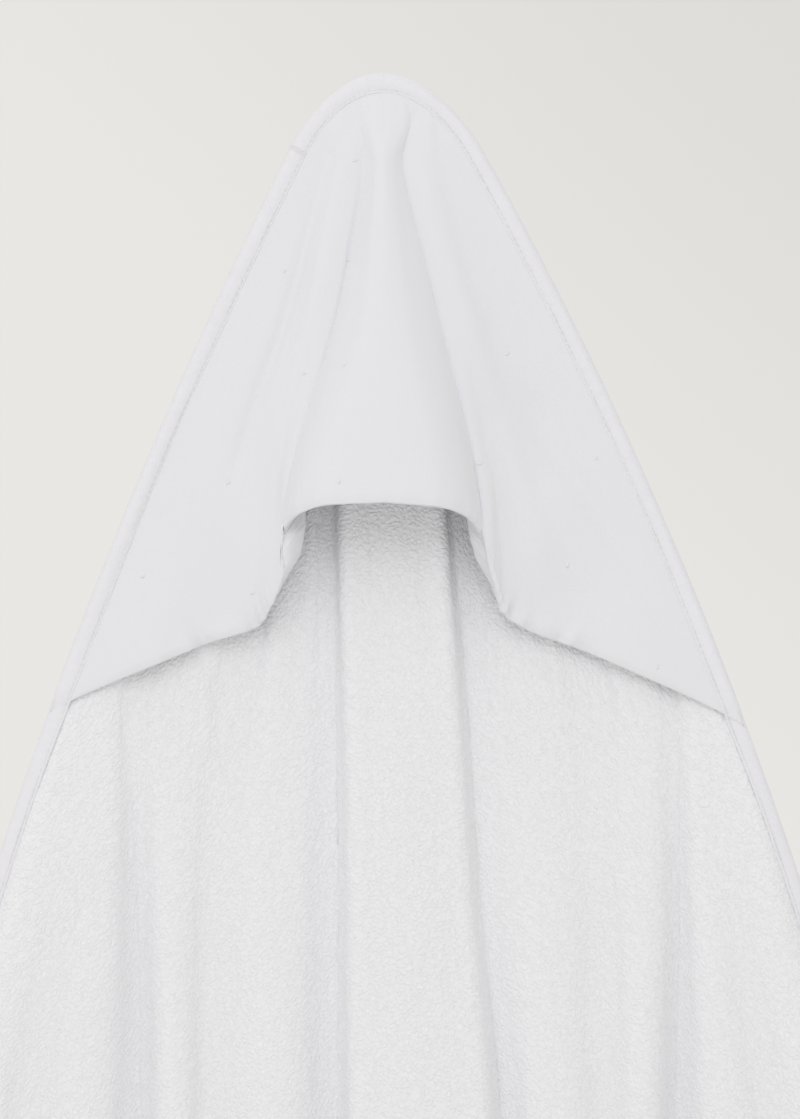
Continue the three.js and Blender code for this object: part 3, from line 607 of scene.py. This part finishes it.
def body_half(flat):
    fuller = smoothstep(from_edge(flat), BINDING_WIDTH - 1.5, BINDING_WIDTH + 3)
    return lerp(BODY_HALF_AT_EDGE, BODY_HALF, fuller)


def body_surface(flat):
    """The hanging body with the slight unevenness of thick cloth."""
    middle = hang(flat)
    depth = smoothstep(from_edge(flat), BINDING_WIDTH, 60)
    uneven = 0.9 * lumps(flat, size=(90, 34), seed=3) + 0.35 * lumps(flat, size=(30, 14), seed=4)
    middle[..., 1] += uneven * depth
    return middle


def towel_body():
    rows = np.concatenate([np.linspace(0, TOP_SHARE, TOP_ROWS, endpoint=False),
                           np.linspace(TOP_SHARE, 1, LOW_ROWS + 1)])
    flat = fan(fan_columns(BODY_COLUMNS, 0.4), rows, hem_reach)
    middle = body_surface(flat)
    normal = grid_normals(middle)
    half = body_half(flat)
    inside = smoothstep(from_edge(flat), BINDING_WIDTH, BINDING_WIDTH + 6)
    fluff = [PILE_LUMPS * (lumps(flat, 7, seed) + 0.6 * lumps(flat, 3.6, seed + 1)) * inside
             for seed in (11, 21)]
    return sheet_object("terry_body", flat, middle, normal, half + fluff[0], -half + fluff[1], terry)


body = towel_body()
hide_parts("towel_body")

# ---- Hood ----
HOOD_COLUMNS = 300
HOOD_ROWS = 150
LEAVES_SEAM = 42  # how far in from the edge the hood is wholly on its own lines, and off the body
HOOD_LOFT = 0.8
SEAM_PILLOW = 1.1  # the hood stands up this much just inside the binding
HEM = 4.0  # the layers close on each other this near the mouth


def leaving_seam(flat):
    return smoothstep(from_edge(flat), BINDING_WIDTH, LEAVES_SEAM)


def half_hood(flat):
    return (HOOD_THICKNESS + GAP) / 2 + HOOD_LOFT * smoothstep(from_edge(flat), BINDING_WIDTH, 25)


CREASES = 15  # degrees from the middle, of the creases beside the roof of the mouth


def hood_columns():
    """Columns for the hood, closer together at its two creases and at its sides."""
    angles = np.linspace(-45, 45, 2001)
    crowd = 1 + 3 * np.exp(-(((np.abs(angles) - CREASES) / 2.5) ** 2)) + np.exp(-(45 - np.abs(angles)) / 3)
    run = np.cumsum(crowd)
    even = np.linspace(run[0], run[-1], HOOD_COLUMNS + 1)
    return np.radians(np.interp(even, run, angles))


hood_flat = fan(hood_columns(), 1 - (1 - np.linspace(0, 1, HOOD_ROWS + 1)) ** 1.15, mouth_reach)


def at_inset(flat, inset, along=0.0):
    """The flat place `inset` inside the edge that these places are nearest to, and `along` it from there."""
    sides = np.stack(from_sides(flat), -1)
    centre = np.clip(sides, CORNER_RADIUS, FAR)
    away = sides - centre
    length = np.linalg.norm(away, axis=-1, keepdims=True)
    way = np.where(length > 1e-6, away / np.maximum(length, 1e-6), -1 / ROOT2)
    aside = np.stack([-way[..., 1], way[..., 0]], -1)
    place = centre + way * (CORNER_RADIUS - np.asarray(inset)[..., None]) + aside * along
    return flat_point(place[..., 0], place[..., 1])


def beside_seam(flat):
    """Where the hood lies on the body, at the binding's inner edge or under the binding."""
    inset = np.minimum(from_edge(flat), BINDING_WIDTH)
    foot = hang(at_inset(flat, inset))
    outer, inner = (np.full_like(inset, v) for v in (1.0, BINDING_WIDTH + 3))
    out = hang(at_inset(flat, outer)) - hang(at_inset(flat, inner))
    ahead = hang(at_inset(flat, inset, 1.5)) - hang(at_inset(flat, inset, -1.5))
    normal = unit(np.cross(out, ahead))
    normal = normal * -np.sign(normal[..., 1:2])
    return foot + normal * (BODY_HALF_AT_EDGE + GAP + HOOD_THICKNESS + GAP / 2)


def hood_middle(flat):
    """The middle of the hood's two layers: down on the body at its seam, and on its own lines from there."""
    inside = from_edge(flat)
    near_seam = 1 - leaving_seam(flat)
    foot = at_inset(flat, np.minimum(inside, BINDING_WIDTH))
    shift = beside_seam(flat) - hood_shape(foot)
    shaped = hood_shape(flat) + shift * near_seam[..., None]
    pillow = SEAM_PILLOW * smoothstep(inside, BINDING_WIDTH - 1.9, BINDING_WIDTH + 1.1) * near_seam
    return shaped + grid_normals(shaped) * pillow[..., None]


hood_surface = hood_middle(hood_flat)
hood_normal = grid_normals(hood_surface)
to_mouth = np.linalg.norm(hood_flat[-1:] - hood_flat, axis=-1)  # from the hem, along each column
hood_angle = polar(hood_flat)[1] * 45


PUCKER_DEPTH = 2.4
PUCKER_REACH = 9
PUCKER_ANGLE = 33  # where the mouth's arms meet its walls, in degrees from the middle


def puckers():
    """Small gathers that run in from the turned hem, most of all where the arms meet the walls."""
    near = np.exp(-((to_mouth / PUCKER_REACH) ** 2)) * smoothstep(from_edge(hood_flat), 10, 40)
    most = 0.2 + np.exp(-(((np.abs(hood_angle) - PUCKER_ANGLE) / 4) ** 2))
    waves = lumps(np.stack([hood_flat[..., 1], to_mouth * 0.12], -1), size=3.2, seed=31)
    return PUCKER_DEPTH * near * most * waves


# Soft folds in the hood's panels: drops, where each lies across at them, its half width, and how far it
# stands forward (or back, below zero).
PANEL_FOLDS = [
    ([45, 54, 96, 140, 167, 196, 215], [-15, -19.5, -29.5, -41, -51, -59.5, -65], 3.2, -1.7),
    ([45, 70, 110, 150, 190, 215], [-10, -14, -22, -33, -45, -52], 4.5, 0.9),
    ([150, 185, 212, 245, 270], [60, 72, 92, 114, 128], 8.0, -2.6),
    ([60, 100, 150, 200, 250], [14, 24, 42, 58, 76], 6.0, 1.6),
    ([160, 200, 240, 270], [-84, -92, -100, -104], 9.0, -1.8),
]


def panel_folds():
    across = hood_surface[..., 0]
    drop = CORNER_ABOVE_HOOK - TILT * across - hood_surface[..., 2]
    total = 0 * across
    for drops, line, half, amount in PANEL_FOLDS:
        away = (across - curve_through(drops, line, drop)) / half
        ends = smoothstep(drop, drops[0], drops[0] + 25) * (1 - smoothstep(drop, drops[-1] - 30, drops[-1]))
        total = total + amount * np.exp(-away**2) * ends
    return total * smoothstep(from_edge(hood_flat), BINDING_WIDTH + 3, 28)


def soft_creases():
    broad = lumps(hood_flat, size=(70, 32), seed=33) + 0.3
    return 2.4 * broad + 0.2 * lumps(hood_flat, size=(22, 12), seed=34)


hood_uneven = (puckers() + soft_creases()) * leaving_seam(hood_flat) + panel_folds()
hood_shift = hood_surface + hood_normal * hood_uneven[..., None]
hood_normal = soft_normals(hood_shift)


LINING_SLACK = 6.5


def lining_bulge():
    """The lining hangs slack inside the mouth's corners: how far it moves in towards the middle."""
    away = np.abs(hood_angle)
    walls = smoothstep(away, 11, 17) * (1 - smoothstep(away, 22, 29))
    amount = LINING_SLACK * walls * smoothstep(to_mouth, 0, 13) * (1 - smoothstep(to_mouth, 20, 55))
    return amount[..., None] * np.stack([-np.sign(hood_angle), 0.5 + 0 * away, 0 * away], -1)


def hood_layer(name, side):
    """One layer of the hood. At the mouth both layers close in on each other, as a turned hem does."""
    half = HOOD_THICKNESS / 2 * lerp(0.5, 1, smoothstep(to_mouth, 0, 1.2))
    apart = np.maximum(half + 0.01, lerp(half, half_hood(hood_flat), smoothstep(to_mouth, 0, HEM)))
    middle = side * apart
    surface = hood_shift if side > 0 else hood_shift + lining_bulge()
    return sheet_object(name, hood_flat, surface, hood_normal, middle + half, middle - half, cotton)


hood_outer = hood_layer("hood_outer_layer", 1)
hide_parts("hood_outer")
hood_lining = hood_layer("hood_inner_layer", -1)
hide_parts("hood_lining")

# Slubs of the cotton: where each lies on the hanging hood (across, and down from the corner), its length,
# and its lean in degrees.
SLUBS = [(-11, 67, 2.0, 20), (-40, 114, 1.6, 70), (-13, 110, 2.2, 10), (-32, 158, 1.5, 40),
         (-15, 155, 2.4, 60), (53, 148, 1.8, 30), (92, 191, 1.7, 80), (42, 195, 2.4, 15), (-17, 204, 1.4, 0),
         (-64, 205, 2.2, 50), (79, 237, 2.4, 75), (-100, 246, 1.8, 20), (117, 279, 2.0, 65),
         (-54, 251, 2.6, 35)]


def slubs():
    """Small thick places in the yarn that stand up from the hood's outer face."""
    turns, rings = 10, 6
    points, faces, uv = [], [], []
    face = hood_shift + hood_normal * (half_hood(hood_flat) + HOOD_THICKNESS / 2)[..., None]
    for n, (across, down, length, lean) in enumerate(SLUBS):
        gap = np.hypot(face[..., 0] - across, CORNER_ABOVE_HOOK - TILT * across - down - face[..., 2])
        r, c = np.unravel_index(np.argmin(gap), gap.shape)
        up, right = hood_normal[r, c], unit(np.cross([0, 0, 1], hood_normal[r, c]))
        way = unit(right * math.cos(math.radians(lean)) + np.cross(up, right) * math.sin(math.radians(lean)))
        across_way = np.cross(up, way)
        start = len(points)
        for i in range(rings + 1):
            polar_angle = math.pi * (i + 0.02) / (rings + 0.04)
            for k in range(turns):
                a = 2 * math.pi * k / turns
                fat = 1 + 0.25 * math.sin(3 * a + n) * math.sin(2 * polar_angle + 1.7 * n)
                points.append(face[r, c] + way * (0.6 * length * math.cos(polar_angle))
                              + across_way * (0.72 * fat * math.sin(polar_angle) * math.cos(a))
                              + up * (0.6 * fat * math.sin(polar_angle) * math.sin(a)))
        faces += [[start + v for v in f] for f in tube_faces(rings + 1, turns, False)]
        uv += [hood_flat[r, c] * MM] * (turns * (rings + 1))
    return make_object("cotton_slubs", np.array(points), faces, cotton, uv=uv)


hood_slubs = slubs()

# ---- Edge binding ----
RIM_STEP = 2.5


def rim_flat(inset):
    """Flat points `inset` inside the towel's edge, down its left side first and back up its right side."""
    r = CORNER_RADIUS
    points, along = [], []
    corners = [(r, r), (r, FAR), (FAR, FAR), (FAR, r)]  # centres, as distances from the left and right sides
    ways = [(-1, 0), (0, 1), (1, 0), (0, -1)]
    run = 0.0
    for k in range(4):
        centre, nxt = np.array(corners[k], float), np.array(corners[(k + 1) % 4], float)
        way, way2 = np.array(ways[k], float), np.array(ways[(k + 1) % 4], float)
        length = np.linalg.norm(nxt - centre)
        side, arc = int(length / RIM_STEP), int(r * math.pi / 2 / RIM_STEP)
        for t in np.arange(side) / side:
            points.append(lerp(centre, nxt, t) + way * (r - inset))
            along.append(run + t * length)
        run += length
        for t in np.arange(arc) / arc:
            turn = t * math.pi / 2
            points.append(nxt + (way * math.cos(turn) + way2 * math.sin(turn)) * (r - inset))
            along.append(run + t * r * math.pi / 2)
        run += r * math.pi / 2
    return flat_point(*np.array(points).T), np.array(along), run


def rim_frames():
    """Hanging places round the rim, at the binding's inner edge and at the cloth's edge, and their ways."""
    inner, along, run = rim_flat(BINDING_WIDTH)
    outer = rim_flat(0)[0]
    further = rim_flat(BINDING_WIDTH + 4)[0]
    inner_at, outer_at, further_at = hang(inner), hang(outer), hang(further)
    ahead = unit(np.roll(inner_at, -1, 0) - np.roll(inner_at, 1, 0))
    out = unit(outer_at - inner_at)
    normal = unit(np.cross(out, ahead))
    inner_normal = unit(np.cross(unit(outer_at - further_at), ahead))
    front_side = np.sign(np.median(normal @ np.array([0, -1, 0])))
    return outer, along, run, inner_at, outer_at, out, normal * front_side, inner_normal * front_side


RIM_OUTER, RIM_ALONG, RIM_RUN, rim_in, rim_out, rim_way, rim_normal, rim_in_normal = rim_frames()

BODY_ROOM = BODY_HALF_AT_EDGE + GAP
HOOD_ROOM = BODY_ROOM + 2 * (HOOD_THICKNESS + GAP)
rim_sides = np.max(np.stack(from_sides(RIM_OUTER)), 0)
front_room = lerp(HOOD_ROOM, BODY_ROOM, smoothstep(rim_sides, HOOD_LEG - 2, HOOD_LEG + 5))


def binding_point(out_share, height):
    """A point of the binding's section: out_share 0 at its inner edge and 1 at the cloth's edge."""
    share = np.clip(out_share, 0, 1)
    normal = unit(lerp(rim_in_normal, rim_normal, share))
    beyond = max(out_share - 1, 0) * BINDING_WIDTH
    height = np.broadcast_to(height, len(rim_in))[:, None]
    return lerp(rim_in, rim_out, share) + rim_way * beyond + normal * height


def edge_binding():
    ripple = 0.10 * lumps(np.stack([RIM_ALONG, 0 * RIM_ALONG], -1), 3.2, 41)
    ripple += 0.22 * lumps(np.stack([RIM_ALONG, 0 * RIM_ALONG + 50], -1), 17, 42)
    ripple *= smoothstep(RIM_ALONG, 0, 25) * (1 - smoothstep(RIM_ALONG, RIM_RUN - 25, RIM_RUN))
    front, back = front_room, np.full_like(front_room, BODY_ROOM)
    # From the inner edge out, with the seam's dip between two crests: share of the way, and height.
    outer_profile = [(0.0, 0.35), (0.03, 0.75), (0.12, 0.85), (0.2, 0.62), (0.3, 0.95), (0.5, 1.25),
                     (0.75, 1.25), (0.95, 0.95)]
    path = [binding_point(s, front + h + ripple) for s, h in outer_profile]
    path += [binding_point(1.13, front * 0.75 + 0.3), binding_point(1.19, (front - back) / 2)]
    path += [binding_point(1.13, -back * 0.75 - 0.3)]
    path += [binding_point(s, -back - h + ripple) for s, h in reversed(outer_profile)]
    path += [binding_point(0.0, -back), binding_point(1.07, -back), binding_point(1.07, front)]
    path += [binding_point(0.0, front)]
    rings = np.stack(path, 1)
    sides = rings.shape[1]
    s = np.linspace(0, 2.6 * BINDING_WIDTH, sides)
    uv = np.stack(np.broadcast_arrays(RIM_ALONG[:, None], s[None]), -1).reshape(-1, 2) * MM
    faces = [face[::-1] for face in tube_faces(len(rings), sides, True)]
    return make_object("bias_binding", rings.reshape(-1, 3), faces, tape, uv=uv)


binding = edge_binding()
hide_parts("edge_binding")

STITCH = 3.0  # length of one stitch
STEPS_A_STITCH = 5
STITCH_DIP = 0.28
ON_TAPE = 0.62  # height of the tape's face in the seam's dip, over the binding's inside
THREAD_ACROSS, THREAD_OVER = 0.24, 0.2  # half sizes of the thread
THREAD_SIDES = 5


def binding_thread(name, side, node):
    """One thread of the binding's seam: it dips into the tape between stitches."""
    steps = int(RIM_RUN / STITCH) * STEPS_A_STITCH
    at = np.linspace(0, RIM_RUN, steps, endpoint=False)
    room = front_room if side > 0 else np.full_like(front_room, BODY_ROOM)
    share = 1 - STITCH_INSET / BINDING_WIDTH
    normal = unit(lerp(rim_in_normal, rim_normal, share)) * side
    base = lerp(rim_in, rim_out, share) + normal * (room + ON_TAPE)[:, None]
    stops = np.append(RIM_ALONG, RIM_RUN)

    def between(values):
        return np.stack([np.interp(at, stops, np.append(column, column[0])) for column in values.T], -1)

    centre, up = between(base), unit(between(normal))
    dip = STITCH_DIP * (1 - np.abs(np.sin(math.pi * at / STITCH)) ** 0.5) * 2
    centre = centre + up * (THREAD_OVER - dip)[:, None]
    ahead = unit(np.roll(centre, -1, 0) - np.roll(centre, 1, 0))
    across = unit(np.cross(up, ahead))
    points = tube(centre, across, up, THREAD_ACROSS, THREAD_OVER, THREAD_SIDES)
    made = make_object(name, points, tube_faces(len(centre), THREAD_SIDES, True), thread)
    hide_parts(node)
    return made


needle_thread = binding_thread("needle_thread", 1, "binding_needle_thread")
bobbin_thread = binding_thread("bobbin_thread", -1, "binding_bobbin_thread")

# ---- Thread of the hood's mouth seam, hidden between its layers ----
MOUTH_INSET_ROWS = 5
MOUTH_INSET_COLUMNS = 30
MOUTH_THREAD_RADIUS = 0.14


def mouth_thread():
    seam = -1 - MOUTH_INSET_ROWS, slice(MOUTH_INSET_COLUMNS, -MOUTH_INSET_COLUMNS)
    row, out = hood_shift[seam], hood_normal[seam]
    up = unit(np.cross(unit(np.gradient(row, axis=0)), out))
    points = tube(row, out, up, MOUTH_THREAD_RADIUS, MOUTH_THREAD_RADIUS, THREAD_SIDES)
    faces = tube_faces(len(row), THREAD_SIDES, False)
    made = make_object("mouth_seam_thread", points, faces, thread)
    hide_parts("hood_mouth_thread")
    return made


mouth_seam = mouth_thread()

# ---- Hanging loop and its bar tacks ----
LOOP_WIDTH = 5.0
LOOP_THICKNESS = 2.4
LOOP_DOWN, LOOP_ACROSS = 70, 14  # flat place of its right end
LOOP_LEG = 8.5  # half the loop's width, to the tape's middle
LOOP_STITCH = 2.4
# Half of the loop's line, up from a foot: share of LOOP_LEG across, height over the hook, share of the
# hinge's depth.
LOOP_LINE = [(1, -9, 0.25), (0.83, -3, 0.1), (0.45, 1.2, 0.02)]
LOOP_SEAM = -0.62  # where across the tape its row of stitches lies, in a dip
# One face of the loop's section, from edge to edge: shares of its half width and of its half thickness.
LOOP_FACE = [(-1.0, 0.35), (-0.96, 0.75), (-0.86, 0.94), (-0.7, 0.9), (LOOP_SEAM, 0.74), (-0.5, 0.88),
             (0, 0.96), (0.6, 0.95), (0.88, 0.75), (1.0, 0.3)]
LOOP_SECTION = [(-0.97, 0.0), *LOOP_FACE, *[(a, -o) for a, o in reversed(LOOP_FACE)]]
TACK_RADIUS = 0.8
TACK_LENGTH = 5.0


def behind_body(down, across, clear):
    """A place on the back of the body, `clear` behind its face."""
    flat = np.array([[down + i, across + j] for i, j in ((0, 0), (-1, 0), (1, 0), (0, -1), (0, 1))], float)
    at = hang(flat)
    front = unit(np.cross(at[2] - at[1], at[4] - at[3]))
    front = front * -np.sign(front[1])
    return at[0] - front * (body_half(flat)[0] + clear)


STEPS_A_TURN = 6
BAR_SIDES = 10


def thread_bar(name, start, end, radius_across, radius_over, turns, node):
    """A bar of close stitches between two points."""
    steps = turns * STEPS_A_TURN
    t = np.linspace(0, 1, steps + 1)
    way = unit(end - start)
    across = unit(np.cross(way, [0, 1, 0]))
    over = np.cross(across, way)
    round_end = np.sqrt(np.maximum(1 - (2 * t - 1) ** 8, 0.02))
    ridges = 0.84 + 0.16 * np.abs(np.sin(math.pi * turns * t))
    across, over = (np.tile(v, (steps + 1, 1)) for v in (across, over))
    points = tube(lerp(start, end, t[:, None]), across, over, radius_across * ridges * round_end,
                  radius_over * ridges * round_end, BAR_SIDES)
    made = make_object(name, points, tube_faces(steps + 1, BAR_SIDES, False), thread)
    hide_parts(node)
    return made


def hanging_loop():
    """A folded tape, its two long edges stitched together, that is sewn down at both ends."""
    clear = GAP + LOOP_THICKNESS / 2 + 0.6
    ends = [behind_body(LOOP_DOWN, side * LOOP_ACROSS, clear) for side in (-1, 1)]
    hinge = (ends[0] + ends[1]) / 2
    left = [np.array([-LOOP_LEG * share, hinge[1] * lean, z]) for share, z, lean in LOOP_LINE]
    right = [p * (-1, 1, 1) for p in left[::-1]]
    knots = np.array([ends[0], *left, (0, 0, LOOP_WIDTH / 2), *right, ends[1]])
    at = np.append(0, np.cumsum(np.sqrt(np.linalg.norm(np.diff(knots, axis=0), axis=1))))
    fine = np.linspace(0, at[-1], 181)
    path = np.stack([curve_through(at, knots[:, i], fine) for i in range(3)], -1)
    ahead = unit(np.gradient(path, axis=0))
    over = unit(np.array([0, -hinge[2], hinge[1]]))
    across = unit(np.cross(ahead, over))
    run = np.append(0, np.cumsum(np.linalg.norm(np.diff(path, axis=0), axis=1)))
    thick, wide = LOOP_THICKNESS / 2, LOOP_WIDTH / 2
    stitches = 0.12 * np.abs(np.sin(math.pi * run / LOOP_STITCH))
    rings = []
    for a, o in LOOP_SECTION:
        seam = np.sign(o) * stitches * (a == LOOP_SEAM)
        rings.append(path + across * (a * wide) + over * ((o + seam) * thick)[:, None])
    rings = np.stack(rings, 1)
    sides = len(LOOP_SECTION)
    uv = np.stack(np.broadcast_arrays(run[:, None], np.linspace(0, 14, sides)[None]), -1).reshape(-1, 2) * MM
    faces = tube_faces(len(rings), sides, False)
    made = make_object("tape_loop", rings.reshape(-1, 3), faces, tape, body=None, uv=uv)
    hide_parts("hanging_loop")
    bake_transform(made)


hanging_loop()
for side, name in ((-1, "left"), (1, "right")):
    place = behind_body(LOOP_DOWN + LOOP_WIDTH / 2 + TACK_RADIUS, side * LOOP_ACROSS, GAP + TACK_RADIUS)
    reach = np.array([TACK_LENGTH / 2 + TACK_RADIUS, 0, 0])
    thread_bar("tack_" + name, place - reach, place + reach, TACK_RADIUS * 0.95, TACK_RADIUS * 0.7, 14,
               "loop_bar_tack_" + name)

# ---- Care label ----
LABEL_LENGTH, LABEL_WIDTH = 36.0, 24.0
LABEL_ALONG = 600  # down the towel's left side
LABEL_LEAN = 22  # degrees, off the body's back
LABEL_PLY = 0.22  # thickness of one of its two plies


def label_frame():
    """The label's own frame: x away from the seam, y up along the seam, z to the back."""
    inside = BINDING_WIDTH + 1
    ends = [flat_point(inside, LABEL_ALONG + way * LABEL_WIDTH / 2) for way in (-1, 1)]
    at = flat_point(inside, LABEL_ALONG)
    near = hang(np.array([*ends, at, at + (1, 0), at + (0, 1)]))
    seam = unit(near[0] - near[1])
    back = unit(np.cross(near[3] - near[2], near[4] - near[2]))
    back = back * np.sign(back[1])
    origin = near[2] + back * (BODY_ROOM + BINDING_THICKNESS + 1.2)
    inwards = np.cross(seam, back)
    lean = -math.radians(LABEL_LEAN)
    inwards = unit(inwards * math.cos(lean) + np.cross(seam, inwards) * math.sin(lean))
    return origin, inwards, seam, np.cross(inwards, seam)


def care_label():
    """A blank satin ribbon, folded double at its free end, with a slight curl."""
    origin, x_way, y_way, z_way = label_frame()
    columns, rows = np.linspace(0, 1, 49), np.linspace(-0.5, 0.5, 25)
    u, v = (grid.T for grid in np.meshgrid(columns, rows))
    x = LABEL_LENGTH * u
    curl = 0.9 * u**2 * (4 * v**2 - 0.35) + 0.5 * np.sin(3.2 * u + 1.2 * v) * u
    apart = LABEL_PLY / 2 + 0.32 * smoothstep(u, 0.02, 0.5) * (1 - smoothstep(u, 0.96, 1.0))
    middle = origin + x[..., None] * x_way + (v * LABEL_WIDTH)[..., None] * y_way + curl[..., None] * z_way
    normal = np.broadcast_to(z_way, middle.shape)
    flat = np.stack([x, v * LABEL_WIDTH], -1)
    half = apart + LABEL_PLY / 2
    made = sheet_object("satin_label", flat, middle, normal, half, -half, satin,
                        body="care_label")
    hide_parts("care_label")
    thread_bar("label_stitches", origin - 1.2 * x_way - y_way * LABEL_WIDTH / 2,
               origin - 1.2 * x_way + y_way * LABEL_WIDTH / 2, 0.3, 0.26, 8, "care_label_thread")
    return made


label = care_label()

# ---- Stage, light and camera ----
FLOOR_Z = -1.75
ROOM_RADIUS = 14.0
COVE = 1.5
ROOM_HEIGHT = 12.0
ROOM_COLOUR = (0.81, 0.80, 0.77, 1)
SKY_COLOUR = (0.80, 0.79, 0.77, 1)


def room():
    """A pale round room: floor, cove and wall in one. It glows as a soft ambient light, with a painted light
    fall-off that dims it towards +x and upwards.
    """
    turn = np.linspace(0, 2 * math.pi, 96, endpoint=False)
    cove = [(ROOM_RADIUS - COVE + COVE * math.sin(a), FLOOR_Z + COVE - COVE * math.cos(a))
            for a in np.linspace(0, math.pi / 2, 12)]
    profile = [(0.5, FLOOR_Z), (4, FLOOR_Z), (8, FLOOR_Z), *cove, (ROOM_RADIUS, ROOM_HEIGHT)]
    rings = np.array([[(r * math.cos(t), r * math.sin(t), z) for t in turn] for r, z in profile])
    faces = tube_faces(len(profile), len(turn), False)[:-1]  # open at the top
    mesh = bpy.data.meshes.new("studio_room")
    mesh.from_pydata(rings.reshape(-1, 3).tolist(), [], faces)
    mesh.polygons.foreach_set("use_smooth", [True] * len(mesh.polygons))
    made = link("studio_room", mesh)
    n = Nodes("glowing_room")
    n.tree.nodes.clear()
    place = n.add("TexCoord").outputs["Object"]
    # painted light fall-off: the glow's strength goes from 1.0 down to 0.9 towards +x and upwards
    slant = n.add("VectorMath", {0: place, 1: (0.7, 0, 0.7)}, operation="DOT_PRODUCT").outputs["Value"]
    inputs = {"Value": slant, "From Min": -0.3, "From Max": 1.9, "To Min": 1.0, "To Max": 0.9}
    painted_falloff = n.add("MapRange", inputs, interpolation_type="SMOOTHSTEP").outputs["Result"]
    glow = n.add("Emission", {"Color": ROOM_COLOUR, "Strength": painted_falloff})
    n.add("OutputMaterial", {"Surface": glow.outputs[0]})
    mesh.materials.append(n.material)


room()

world = bpy.data.worlds.new("studio_light")
bpy.context.scene.world = world
world.use_nodes = True
sky = world.node_tree.nodes["Background"].inputs
sky["Color"].default_value = SKY_COLOUR
sky["Strength"].default_value = 1.0

TARGET = Vector((0.0085, -0.02, -0.3))


LIGHT_COLOUR = (0.93, 0.94, 1.0)


def soft_light(name, azimuth, elevation, distance, size, power):
    light = bpy.data.lights.new(name, "AREA")
    light.shape = "DISK"
    light.size = size
    light.energy = power
    light.color = LIGHT_COLOUR
    made = link(name, light)
    a, e = math.radians(azimuth), math.radians(elevation)
    away = Vector((math.sin(a) * math.cos(e), -math.cos(a) * math.cos(e), math.sin(e)))
    made.location = TARGET + away * distance
    made.rotation_mode = "QUATERNION"
    made.rotation_quaternion = away.to_track_quat("Z", "Y")


soft_light("key", -20, 38, 4.0, 2.4, 18)
soft_light("front", 4, 24, 4.5, 1.8, 15.5)
soft_light("back", 165, 35, 4.0, 2.4, 9)

CAMERA_DISTANCE = 2.6
CAMERA_X, CAMERA_Z = 0.0085, -0.196
SENSOR_WIDTH = 36
SEEN_HEIGHT = 0.4745  # of the towel, in the picture
camera_data = bpy.data.cameras.new("camera")
camera = link("camera", camera_data)
camera.location = (CAMERA_X, CLOTH_Y * MM - CAMERA_DISTANCE, CAMERA_Z)
camera.rotation_euler = (math.pi / 2, 0, 0)
camera_data.sensor_width = SENSOR_WIDTH
camera_data.lens = SENSOR_WIDTH * CAMERA_DISTANCE / SEEN_HEIGHT
camera_data.clip_start = 0.05
camera_data.clip_end = 60
bpy.context.scene.camera = camera

bpy.context.scene.view_settings.view_transform = "Standard"
bpy.context.scene.view_settings.look = "None"
